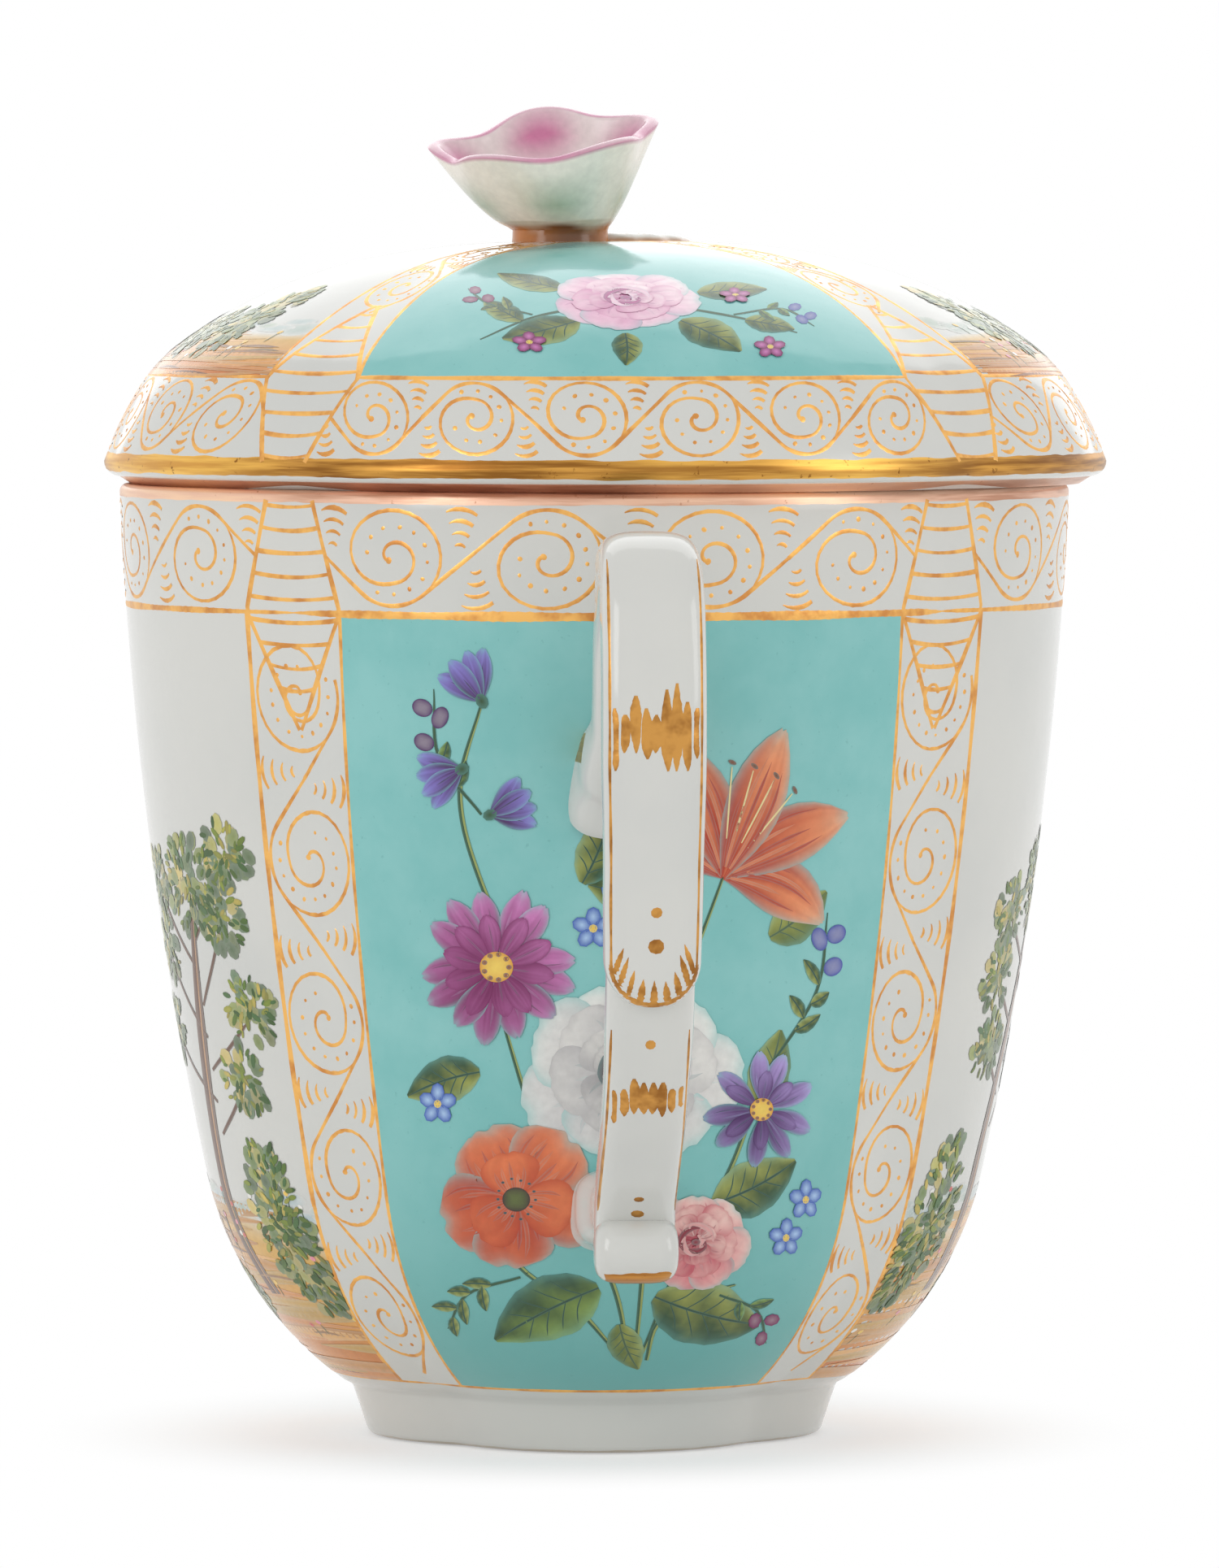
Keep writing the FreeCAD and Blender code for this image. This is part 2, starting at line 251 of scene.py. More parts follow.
def glaze_of(name, base, gold, metal=0.9):
    """Glazed porcelain: base is the colour under the glaze, gold where it is gilt and in which colour."""
    made, shader, place = finish_of(name, IOR=1.5)
    cloud = place.noise(60, 3).ease(0.35, 0.75)
    white = cloud.blend(WHITE, tone(206, 207, 203))
    mask, gilt = gold(place)
    link(mask.blend(base(place, white), gilt), shader, "Base Color")
    link(place.noise(900, 2) * 0.05 + mask * 0.2 + 0.1, shader, "Roughness")
    link(mask * metal, shader, "Metallic")
    bumped(shader, place.noise(260, 2) * 0.7 + place.noise(1500, 2) * 0.08, 0.00005)
    return made


def gilt_edge(place, dark, middling, bright):
    """Gold laid along an edge: the brush left streaks that run with it, and painted glints brighten broad
    stretches of it.
    """
    streak = place.node("Mapping", 0, {"Vector": place, "Scale": (80, 80, 1500)}).noise(1, 3, 0.6)
    streak = streak.ease(0.34, 0.66)
    bare = place.noise(1100, 3, 0.7).ease(0.28, 0.36)
    # painted glints: broad stretches of the gold are made brighter, standing in for light caught on the
    # metal
    painted_glints = place.noise(34, 1).ease(0.44, 0.60)
    return bare.blend(dark, painted_glints.blend(streak.blend(dark, middling), streak.blend(middling, bright)))


def enamel(place, height):
    """Turquoise, laid a little unevenly, with painted shade that darkens it towards the foot, and fine
    specks.
    """
    thick = place.noise(95, 4, 0.6).ease(0.3, 0.7)
    speck = place.noise(1900, 2).ease(0.68, 0.78)
    colour = thick.blend(tone(138, 199, 196), tone(122, 190, 187))
    # painted shade: the enamel is mixed towards a darker turquoise below 40 mm, most at the foot
    colour = (0.75 - height.ease(4, 40) * 0.75).blend(colour, tone(98, 170, 166))
    return (speck * 0.35).blend(colour, tone(96, 160, 158))


def cup_base(place, white):
    """Turquoise on the front and back lobes, through to the inside of the wall but not in the middle of
    the floor, and bare clay where the foot touches the table."""
    x, y, z = axes(place)
    margin = past_crease(x, y) - band_half(z, (z * -0.125).maths("EXPONENT"))
    panel = (margin > 0) * (z > GROUND) * (z < BORDER_LOW) * (out_from(x, y) > 10)
    bare = (z + place.noise(300, 2) * 0.3) < 0.4
    return panel.blend(bare.blend(white, tone(196, 186, 170)), enamel(place, z))


def rim_gold(place):
    """The thin brown gold along the mouth."""
    return gilt_edge(place, tone(192, 140, 112), tone(236, 192, 166), tone(248, 208, 174))


def cup_gold(place):
    """Gold on the rim, with a lower edge that wavers as the brush did."""
    x, y, z = axes(place)
    ragged = (place.noise(260, 2) - 0.5) * 0.35
    return (z + ragged) > RIM_LOW, rim_gold(place)


belly, throat, waist, stand = 35.2 + 24j, 42.9 + 85.3j, 22.9 + 5j, 19.9 + 0j
inner_belly, inner_throat, bulge = 32.5 + 24j, 40.2 + 85.3j, 1.3
side = bowed(belly, throat, bulge, 44)
up_and_out = (side[0] - belly) / abs(side[0] - belly)
foot = [stand] + arc(stand, 1 + 0j, 20.69 + 0.6j, 4) + [21.3 + 2.5j, 21.92 + 4.3j, 22.1 + 4.6j]
outside = foot + [waist] + arc(belly, -up_and_out, waist, 26)[-2::-1] + [belly] + side
cup_shell = Shell(outside)
lip = arc(throat, 1j, 42.2 + 86j, 4) + arc(41.0 + 86j, -1 + 0j, inner_throat, 4)
inner_side = bowed(inner_belly, inner_throat, bulge, 24)
bowl = arc(inner_belly, inner_belly - inner_side[0], 13 + 6.6j, 16)
inside = inner_side[-2::-1] + [inner_belly] + bowl + [6 + 6.6j, 6.6j]
recess = [3.2j, 8 + 3.2j, 16.5 + 3.2j] + arc(16.5 + 3.2j, 1 + 0j, 17.1 + 2.6j, 3)
recess += [17.1 + 0.6j] + arc(17.1 + 0.6j, -1j, 17.7 + 0j, 3)
cup_glaze = glaze_of("cup glaze", cup_base, cup_gold, 0.55)
body = piece("cup_body", thrown(recess + outside + lip + inside), cup_glaze)
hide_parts("cup")


# The handle, an upper scroll that ends in a tongue over a lower scroll with a rolled end. Porcelain
# rolled and bent by hand, luted to the wall with slip, so its roots spread softly onto the body.
def smooth(points, parts=6):
    """More points, on a smooth line through the given ones."""
    ends = [2 * points[0] - points[1]] + points + [2 * points[-1] - points[-2]]
    line = []
    for a, b, c, d in zip(ends, ends[1:], ends[2:], ends[3:]):
        for k in range(parts):
            t = k / parts
            line.append(0.5 * (2 * b + (c - a) * t + (2 * a - 5 * b + 4 * c - d) * t * t
                               + (3 * b - a - 3 * c + d) * t ** 3))
    return line + [points[-1]]


BOXY = 0.62    # 1 would make a strap's section an ellipse, and 0 a box


class Strap:
    """A bent strap: a smooth line in the plane of the handle, and a width and depth along it."""

    def __init__(self, points, stations, tip=0.0):
        self.shell = Shell(smooth(points, 24))
        self.length, self.stations, self.tip = self.shell.run[-1], stations, tip

    def size(self, run):
        """Width and depth at a run along the line; they close to a rounded tip at its end."""
        share, last = run / self.length, len(self.stations) - 1
        k = next((k for k, station in enumerate(self.stations) if station[0] >= share), last)
        a, b = self.stations[max(k - 1, 0)], self.stations[k]
        blend = 0.0 if b[0] == a[0] else (share - a[0]) / (b[0] - a[0])
        blend = blend * blend * (3 - 2 * blend)
        width, depth = (a[i] + (b[i] - a[i]) * blend for i in (1, 2))
        left = (self.length - run) / self.tip if self.tip else 1.0
        if left < 1:
            close = sqrt(max(1 - (1 - left) ** 2, 0.0))
            return width * close, depth * sqrt(close)
        return width, depth

    def place(self, run, around, lift=0.0):
        """A point of the skin, in metres. around is 0 in the middle of the outer face, 1 of the inner."""
        spot = self.shell.at(run)
        way = self.shell.at(run + 0.15) - self.shell.at(run - 0.15)
        out = way / abs(way) * 1j
        width, depth = self.size(run)
        a, b = (copysign(abs(c) ** BOXY, c) for c in (sin(pi * around), cos(pi * around)))
        spot += out * b * (depth / 2 + lift)
        return Vector((a * (width / 2 + lift), -spot.real, spot.imag)) * MM

    def skin(self, bm, steps):
        """The strap's surface, a grid wrapped round the line."""
        made = bmesh.ops.create_grid(bm, x_segments=steps, y_segments=44, size=1)["verts"]
        for v in made:
            v.co = self.place((v.co.x + 1) / 2 * self.length, v.co.y)
        bmesh.ops.remove_doubles(bm, verts=made, dist=2e-6)


upper = Strap([38.7 + 59.5j, 46.7 + 65.5j, 50.7 + 74j, 58.2 + 79.7j, 65.5 + 79.1j, 68.7 + 71.8j,
               68.7 + 60.3j, 67.8 + 52.8j, 66.3 + 42.8j],
              [(0.0, 10.8, 9.2), (0.07, 9.1, 7.8), (0.15, 7.4, 5.8), (0.28, 7.6, 5.8), (0.42, 8.5, 5.8),
               (0.55, 8.9, 5.8), (0.70, 8.9, 5.8), (0.85, 8.5, 5.8), (1.0, 8.2, 5.8)], 4.1)
lower = Strap([65.8 + 47.8j, 63.2 + 40.8j, 58.3 + 33.8j, 53.5 + 29.5j, 47.8 + 24.5j, 47.4 + 20.6j],
              [(0.0, 7.6, 4.0), (0.2, 7.6, 4.8), (0.4, 7.3, 5.2), (1.0, 7.0, 5.2)])
stem = Strap([30.5 + 23j, 39.2 + 23.3j, 47 + 24.5j],
             [(0.0, 11.1, 9.3), (0.35, 8.7, 6.9), (0.6, 6.5, 5.2), (1.0, 6.5, 5.2)])
bm = bmesh.new()
for strap, steps in ((upper, 150), (lower, 80), (stem, 50)):
    strap.skin(bm, steps)
roll_at, roll_half, roll_radius = 49.0 + 20.6j, 3.65, 2.9
for v in bmesh.ops.create_uvsphere(bm, u_segments=36, v_segments=24, radius=1.0)["verts"]:
    x, y, z = v.co / (abs(v.co.x) ** 4 + hypot(v.co.y, v.co.z) ** 4) ** 0.25
    v.co = Vector((x * roll_half, y * roll_radius - roll_at.real, z * roll_radius + roll_at.imag)) * MM


def handle_gold(place):
    """A dab of gold under the rolled end and one on each side of the upper root."""
    x, y, z = axes(place)
    ragged = (place.noise(500, 2) - 0.5) * 0.9
    under = ((z + ragged) < 18.7) * ((abs(x) + ragged) < 2.9)
    root = ((abs(x) + ragged) > 3.5) * (abs(z - 63.9) < 1.3) * ((y + ragged) > -44.6)
    return under + root, gilt_edge(place, tone(150, 96, 44), tone(196, 136, 62), tone(222, 164, 84))


handle_glaze = glaze_of("handle glaze", lambda place, white: white, handle_gold)
piece("handle", bm, handle_glaze)


# The cover, a dome of the same four lobes with a flange under it that stands in the mouth of the cup.
# Pressed porcelain like the body, glazed, with turquoise over the front and back and a gold edge.
ASIDE = 1.0            # the cover sits this far to +X on the cup
SEAT = 86.001j         # a hair over the cup's rim
EDGE_HIGH, BORDER_HIGH = 88.85, 95.9   # heights where the gold edge and the border end
shoulder = 45.3 + 88j
slopes = [radians(a) for a in (70, 58, 37, 10)]
here, dome = shoulder, []
for radius, first, last in zip((36.0, 13.5, 44.0), slopes, slopes[1:]):
    spots = [here + radius * complex(sin(a) - sin(first), cos(a) - cos(first))
             for a in (first + (last - first) * k / 14 for k in range(1, 15))]
    dome += spots
    here = spots[-1]
top = here.imag + (here.real - LOBE) * sin(slopes[3] / 2) / cos(slopes[3] / 2)
crown = arc(here, cmath.rect(1, pi - slopes[3]), LOBE + top * 1j, 14)
edge = 44.0 + 86.7j
cover_outside = [42.9 + SEAT, edge] + arc(edge, 1 + 0j, shoulder, 6) + dome + crown
cover_outside += [3 + top * 1j, top * 1j]
cover_shell = Shell(cover_outside, ASIDE)


def inset(outline, wall):
    """The same outline set in by a wall."""
    return [b + (c - a) / abs(c - a) * 1j * wall for a, b, c in zip(outline, outline[1:], outline[2:])]


vault = [spot for spot in inset(dome + crown, 3.0) if spot.real < 36.3]
flange = [36.3 + vault[0].imag * 1j, 36.3 + 82j] + arc(36.3 + 82j, -1j, 36.9 + 81.4j, 3)
flange += [38.1 + 81.4j] + arc(38.1 + 81.4j, 1 + 0j, 38.7 + 82j, 3) + [38.7 + SEAT]
cover_hollow = [vault[-1].imag * 1j] + vault[::-1] + flange


def cover_band(height):
    """Half the width of the white band over a crease of the cover, narrower towards the knob."""
    return 5.4 - (height - 96.0) * 0.28


def cover_base(place, white):
    """Turquoise on the front and back lobes above the border, inside and out."""
    x, y, z = axes(place, ASIDE)
    panel = ((past_crease(x, y) - cover_band(z)) > 0) * (z > BORDER_HIGH)
    return panel.blend(white, enamel(place, z))


def cover_gold(place):
    """Bright gold round the outer edge, and the mouth's brown gold on the narrow ledge on the rim."""
    x, y, z = axes(place, ASIDE)
    ragged, outer = z + (place.noise(260, 2) - 0.5) * 0.5, out_from(x, y)
    edge = (ragged > 87.2) * (ragged < EDGE_HIGH) * (outer > 38.9)
    ledge = (z < 86.74) * (outer > 41.6)
    bright = gilt_edge(place, tone(140, 92, 36), tone(212, 156, 74), tone(244, 194, 96))
    return edge + ledge, ledge.blend(bright, rim_gold(place))


cover_glaze = glaze_of("cover glaze", cover_base, cover_gold)
cover = piece("cover", thrown(cover_hollow + cover_outside, ASIDE), cover_glaze)
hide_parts("lid")


# The knob, an open flower of five petals modelled by hand and stuck to the crown of the cover with
# slip. White outside, rose inside and along the rim, gilt round its foot.
STALK = -4.1           # the flower's stalk stands this far from the middle of the cover


def petal_wave(around):
    """1 in the middle of each of the five petals and -1 between them."""
    return cos(5 * (around - radians(18)))


def petal_line(around, share, set_in=0.0):
    """A place on the flower, share of the way from its neck to the rim, from the stalk's middle."""
    petal = petal_wave(around)
    back = ((1 + cos(around - radians(85))) / 2) ** 8
    rise = 7.83 + 1.2 * cos(around) + 1.5 * sin(around) + 0.35 * petal + back
    reach = 4.3 + 5.7 * share ** 0.72 - set_in + 0.8 * petal * share ** 2
    return Vector((-1.4 * sqrt(share) + reach * cos(around), reach * sin(around), 1.2 + rise * share))


def flower_place(around, t):
    """t runs 0 at the foot, 1 at the outer rim, 1.12 at the inner rim and 2 in the middle of the floor."""
    if t < 0.12:
        low = 1 - t / 0.12
        spot = petal_line(around, 0.0)
        return Vector((spot.x * (1 + 0.07 * low * low), spot.y * (1 + 0.07 * low * low), 1.2 - 2.7 * low))
    if t <= 1:
        return petal_line(around, (t - 0.12) / 0.88)
    if t < 1.12:
        turn = (t - 1) / 0.12 * pi
        rim, inner = petal_line(around, 1.0), petal_line(around, 1.0, 1.2)
        return (rim + inner) / 2 + (rim - inner) / 2 * cos(turn) + Vector((0, 0, 0.35 * sin(turn)))
    share = 1 - (t - 1.12) / 0.88
    if share > 0.35:
        return petal_line(around, share, 1.2)
    centre = Vector((-1.4 * sqrt(0.3), 0, 3.0))
    spot = petal_line(around, 0.35, 1.2)
    return centre.lerp(Vector((spot.x, spot.y, 3.0 + (spot.z - 3.0) * (share / 0.35) ** 2)), share / 0.35)


ROSE, CREAM = tone(200, 118, 156), tone(232, 222, 196)


def mix(a, b, share):
    """Colour a where share is 0 and b where it is 1."""
    share = min(max(share, 0.0), 1.0)
    return tuple(p + (q - p) * share for p, q in zip(a, b))


def flower_tone(around, t):
    """The paint: brown gold round the foot, white outside with painted green-tinted shade in the hollows
    between petals, rose within.
    """
    petal = petal_wave(around)
    if t < 0.2:
        brown = mix(tone(110, 68, 36), tone(206, 126, 50), 0.5 + 0.5 * cos(2 * around - 0.4))
        return mix(brown, tone(212, 204, 186), (t - 0.12 + 0.02 * petal) / 0.06)
    if t <= 1:
        # painted shade: the white outside turns greener and darker between the petals, partway up
        hollow_shade = max(0.0, 1 - abs(t - 0.42) / 0.42) * (0.55 - 0.45 * petal)
        shade = mix(tone(246, 239, 227), tone(176, 192, 170), hollow_shade)
        return mix(shade, ROSE, 0.75 * (t - 0.955) / 0.04)
    share = 1 - (t - 1.12) / 0.88
    blush = max(0.0, 1 - abs(share - 0.80) / 0.34) * (0.6 + 0.5 * petal)
    rim = 0.62 - 0.3 * petal if t < 1.1 else 0.0
    base = mix(CREAM, tone(232, 222, 220), (share - 0.15) / 0.35)
    return mix(mix(base, ROSE, blush), ROSE, rim)


def painted(name):
    """Enamel colours, taken from the paint on each corner of the mesh, a little uneven."""
    made, shader, place = finish_of(name, IOR=1.5)
    paint = place.node("Attribute", 0, attribute_name="paint")
    uneven = place.noise(1300, 3) * 0.28 + 0.86
    link(paint.node("VectorMath", 0, {0: paint, 1: uneven}, operation="MULTIPLY"), shader, "Base Color")
    link(place.noise(800, 2) * 0.1 + 0.16, shader, "Roughness")
    bumped(shader, place.noise(500, 2), 0.00003)
    return made


bm = bmesh.new()
paint = bm.verts.layers.float_color.new("paint")
foot_at = Vector((STALK + ASIDE, 0, top))
for v in bmesh.ops.create_grid(bm, x_segments=180, y_segments=90, size=1)["verts"]:
    around, t = v.co.x * pi, v.co.y + 1
    v[paint] = flower_tone(around, t)
    v.co = (flower_place(around, t) + foot_at) * MM
bmesh.ops.remove_doubles(bm, verts=bm.verts, dist=1e-6)
piece("flower_knob", bm, painted("flower enamel"))


# Gilding of the cup: a border of running scrolls under the rim, a ladder down each crease, a white band
# of scrolls below it, and lines that frame the panels. Burnished gold, drawn with a brush on the glaze.
def beside(spots, k, off):
    """The point that lies off to the left of the kth spot of a line."""
    way = spots[min(k + 1, len(spots) - 1)] - spots[max(k - 1, 0)]
    return spots[k] + way / abs(way) * 1j * off


class Drawing:
    """Brush work drawn flat in millimetres, across + along j, and then laid onto a wall."""

    def __init__(self, seed):
        self.laid, self.luck, self.where = bmesh.new(), random.Random(seed), None
        self.between = self.luck.uniform
        self.clear_sheet()

    def clear_sheet(self):
        """A new sheet to draw on, whose every point can hold a colour."""
        self.bm = bmesh.new()
        self.paint = self.bm.verts.layers.float_color.new("paint")

    def patch(self, columns, rows, spot):
        """A patch whose every point comes from spot, given its place from -1 to 1 both ways. spot gives a
        place, a lift and, in a painting, a colour."""
        for v in bmesh.ops.create_grid(self.bm, x_segments=columns, y_segments=rows, size=1)["verts"]:
            place, lift, *colour = spot(v.co.x, v.co.y)
            v.co = place.real, place.imag, lift
            if colour:
                v[self.paint] = colour[0]
        self.lay_if_full()

    def line(self, spots, width, start=0.3, end=0.3, belly=0.0):
        """A line of the brush through spots, thinner at its start and end, and fuller midway by belly."""
        last = len(spots) - 1
        swell = self.between(0, 6)

        def spot(x, y):
            k = round((x + 1) / 2 * last)
            thin = min(1.0, start + (1 - start) * k / 2.5, end + (1 - end) * (last - k) / 2.5)
            full = (1 + 0.14 * sin(swell + k * 0.5)) * (1 - belly + belly * sin(pi * k / last))
            return beside(spots, k, y * width / 2 * thin * full), 0.05 * (1 - y * y) - 0.012

        self.patch(last, 2, spot)

    def dot(self, middle, radius):
        """A spot of gold, a little out of round and heaped in the middle."""
        squeeze, turn = self.between(0.8, 1.0), self.between(0, pi)
        made = bmesh.ops.create_circle(self.bm, cap_ends=True, cap_tris=True, segments=9, radius=1)["verts"]
        for v in made:
            away = complex(v.co.x, v.co.y * squeeze) * cmath.rect(radius, turn)
            v.co = ((middle + away).real, (middle + away).imag, 0.07 if abs(away) < 1e-6 else -0.012)

    def onto(self, where):
        """Turns to another part of the wall; where gives the place there for across, along and lift."""
        self.lay()
        self.where = where

    def lay_if_full(self):
        """Keeps the sheet small, since Blender slows down as a mesh grows."""
        if len(self.bm.verts) > 2500:
            self.lay()

    def lay(self):
        """Lays what was drawn since the last time, and gives all that is laid."""
        for v in self.bm.verts:
            v.co = self.where(*v.co)
        mesh = bpy.data.meshes.new("drawn")
        self.bm.to_mesh(mesh)
        self.laid.from_mesh(mesh)
        bpy.data.meshes.remove(mesh)
        self.bm.free()
        self.clear_sheet()
        return self.laid


def on_lobe(shell, lobe):
    """Flat drawing round the middle line of a lobe, numbered from +X."""
    def where(across, run, lift):
        reach = shell.at(run).real
        full = max(reach, LEAST) - LOBE
        along = across * (full + LOBE) / reach / full
        turn = lobe * pi / 2 + atan2(full * sin(along), LOBE + full * cos(along))
        return shell.lifted(turn, run, lift)
    return where


def crease_at(shell, run, off=0.0):
    """The radius of a lobe, and how far round it its crease lies from its middle, or a line off that."""
    full = max(shell.at(run).real, LEAST) - LOBE
    return full, acos((off - LOBE * sqrt(0.5)) / full) - pi / 4


def half_lobe(shell, run, off=0.0):
    """The way along the wall from the middle of a lobe to its crease, or to a line off the crease."""
    full, along = crease_at(shell, run, off)
    return full * along


def on_seam(shell, lobe):
    """Flat drawing round the crease that follows a lobe."""
    def where(across, run, lift):
        reach = shell.at(run).real
        full, along = crease_at(shell, run, abs(across) * max(LEAST / reach, 1.0))
        back = pi / 4 - atan2(full * sin(along), LOBE + full * cos(along))
        turn = lobe * pi / 2 + pi / 4 + (back if across > 0 else -back)
        return shell.lifted(turn, run, lift)
    return where


def coil(turn):
    """The reach of a scroll's coil, as a share of its first reach. turn is in degrees, 0 to the right and
    90 down."""
    fall = min(max((turn - 135) / 150, 0), 1)
    return 1 - 0.48 * fall * fall * (3 - 2 * fall) - 0.46 * (max(turn - 290, 0) / 300) ** 1.3


def commas(art, place, along, half, side, length):
    """Short bowed strokes that fill a wedge of the border, longer towards its edge."""
    for k in range(4):
        across, spread = side * half * (0.85 - 0.21 * k), length * (0.115 - 0.026 * k)
        first, last = complex(along - spread, across), complex(along + spread, across * 0.99)
        curve = bowed(first, last, -side * half * (0.12 - 0.02 * k), 7)
        art.line([place(spot.real, spot.imag) for spot in curve], 0.56 - 0.05 * k, start=0.3, end=0.75)


def scroll(art, place, length, half, flip, wedges=(-1, 1)):
    """One scroll of a running border: a wave that wraps a coil, dots inside it, and commas in the wedges
    at its start. place carries along and across, in millimetres, onto the wall."""
    reach = 0.95 * half * art.between(0.97, 1.01)
    stretch = max(1.0, 0.33 * length / reach)
    length /= stretch
    lean = acos(min(2 * reach / length, 0.98))

    def at(spot):
        return place(spot.real * stretch, spot.imag * flip)

    def round_at(turn, share):
        return at(length / 2 + cmath.rect(reach * share, -radians(turn)))

    crest = [length / 2 + cmath.rect(reach, pi - lean - (pi - 2 * lean) * k / 22) for k in range(23)]
    rise = [crest[0] * k / 6 for k in range(6)]
    wave = (rise + crest if wedges else crest[6:]) + [length - spot.conjugate() for spot in rise[::-1]]
    art.line([at(spot) for spot in wave], 0.47, start=1, end=1)
    art.line([round_at(turn, coil(turn)) for turn in range(-int(degrees(lean)), 582, 13)], 0.43, end=0.9)
    art.dot(round_at(575, coil(575)), 0.36)
    turn = 246.0
    while turn < 545:
        share = (coil(turn) + coil(turn - 360)) / 2
        art.dot(round_at(turn, share * art.between(0.97, 1.03)), art.between(0.19, 0.29))
        turn += degrees(1.45 / share / reach) * art.between(0.88, 1.12)
    for side in wedges:
        commas(art, lambda t, v: at(complex(t, v)), -side * 0.05 * length, half, side, length)


def ladder(art, low, high, widths, rungs):
    """A lozenge over a crease with rungs across it. widths gives its half width, 0 at the foot to 1."""
    shares = [k / 30 for k in range(31)]
    for way in (-1, 1):
        art.line([complex(way * widths(t), low + (high - low) * t) for t in shares], 0.62, start=1, end=1)
    for k in range(rungs):
        t = (k + 0.75) / rungs
        half, run, sag = widths(t), low + (high - low) * t, art.between(0.15, 0.4)
        rung = [complex(half * x / 5, run + sag * (x * x / 25 - 0.5)) for x in range(-5, 6)]
        art.line(rung, art.between(0.42, 0.58), start=1, end=1)


def cup_band(run):
    """Half the width of the cup's white band at a run."""
    height = cup_shell.at(run).imag
    return band_half(height, exp(-height / 8))


def border(art, shell, low, high, rise, trim, room, count, wedges):
    """Scrolls in a row across a lobe, between two runs, set a little over the middle by rise. trim is left
    over and under them, room at the creases, and wedges is for the first scroll."""
    middle, half = (low + high) / 2, (high - low) / 2 - trim
    edge = half_lobe(shell, middle) - room
    step = 2 * edge / count
    for k in range(count):
        scroll(art, lambda t, v, left=k * step - edge: complex(left + t, middle + rise + v), step, half,
               1 if k % 2 else -1, (-1, 1) if k else wedges)
    return edge, step, half


def level_line(art, edge, run, width, **how):
    """A line across a lobe, as far as edge to both sides of its middle."""
    art.line([complex(edge * (k / 30 - 1), run) for k in range(61)], width, **how)


def band_line(art, way, band, low, high, steps, width):
    """The line along one edge of a white band, from one run to another."""
    runs = [low + (high - low) * k / steps for k in range(steps + 1)]
    art.line([complex(way * band(run), run) for run in runs], width, start=1, end=1)


def band_scroll(art, band, low, high, wide, half, flip, wedges=(-1, 1)):
    """A scroll of a white band from its high run down, narrower where the band is less than wide."""
    def place(t, v):
        return complex(v * band(high - t) / wide, high - t)
    scroll(art, place, high - low, half, flip, wedges)


gild = Drawing(11)
rim_run, border_run, ground_run = (cup_shell.level(z) for z in (RIM_LOW, BORDER_LOW, GROUND))
tip_run = border_run - 10.4
for lobe in range(4):
    turquoise = lobe % 2
    gild.onto(on_lobe(cup_shell, lobe))
    edge, step, half = border(gild, cup_shell, border_run, rim_run, 0.15, 0.35, 4.2, 4, (-1,))
    middle = (border_run + rim_run) / 2 + 0.15
    commas(gild, lambda t, v: complex(edge + t, middle + v), -0.05 * step, half, 1, step)
    for run, width in ((border_run, 1.15 if turquoise else 0.8), (ground_run, 0.55)):
        level_line(gild, half_lobe(cup_shell, run), run, width, belly=0.4)
    gild.onto(on_seam(cup_shell, lobe))
    ladder(gild, tip_run, rim_run + 0.2,
           lambda t: min(5.4 * t / 0.515, 5.4 - 2.8 * max(t - 0.515, 0) / 0.485) + 0.12, 10)
    turns = [cup_shell.level(height) for height in (BORDER_LOW, 60.5, 46, 32, 18.5, GROUND + 1)]
    for k, (high, low) in enumerate(zip(turns, turns[1:])):
        wide = cup_band((high + low) / 2)
        band_scroll(gild, cup_band, low, high, wide, wide * 0.95, -1 if k % 2 else 1, (-1, 1) if k else ())
    for way in (-1, 1):
        white_side = (way > 0) == bool(turquoise)
        band_line(gild, way, cup_band, ground_run, border_run, 90, 0.7 if white_side else 0.46)


def gold_finish(name, thin, full):
    """Burnished gold, laid thin or full along the stroke."""
    made, shader, place = finish_of(name, Metallic=0.85)
    laid = place.noise(420, 3, 0.6).ease(0.30, 0.62)
    link(laid.blend(thin, full), shader, "Base Color")
    link(place.noise(900, 2) * 0.25 + 0.22, shader, "Roughness")
    bumped(shader, place.noise(2600, 2), 0.00002)
    return made


gold = gold_finish("gold", tone(204, 138, 74), tone(240, 184, 102))
piece("cup_gilding", gild.lay(), gold)


# Gilding of the cover: the same running scrolls above its gold edge, a ladder over each crease and
# white bands that close in towards the knob. Drawn with a brush like the cup's.
def dome_band(run):
    """Half the width of the cover's white band at a run."""
    return cover_band(cover_shell.at(run).imag)


gild = Drawing(12)
edge_run, high_run = cover_shell.level(EDGE_HIGH), cover_shell.level(BORDER_HIGH)
near_run = cover_shell.run[-1] - 3.3
for lobe in range(4):
    gild.onto(on_lobe(cover_shell, lobe))
    border(gild, cover_shell, edge_run, high_run, 0, 0.25, 3.9, 6, (1,))
    level_line(gild, half_lobe(cover_shell, high_run) - 5.2, high_run, 0.62, start=0.6, end=0.6)
    gild.onto(on_seam(cover_shell, lobe))
    ladder(gild, high_run + 10.5, edge_run - 0.4,
           lambda t: min(5.3 * t / 0.56, 5.3 - 2.9 * max(t - 0.56, 0) / 0.44) + 0.1, 9)
    for way in (-1, 1):
        band_line(gild, way, dome_band, high_run, near_run, 60, 0.48)
    for low, flip in ((9.2, 1), (19.7, -1)):
        band_scroll(gild, dome_band, high_run + low, high_run + low + 10.5, 5.0, 4.4, flip)
    for k in range(5):
        gild.dot(complex(0, high_run + 31.4 + 1.9 * k), 0.44 - 0.04 * k)
piece("cover_gilding", gild.lay(), gold)


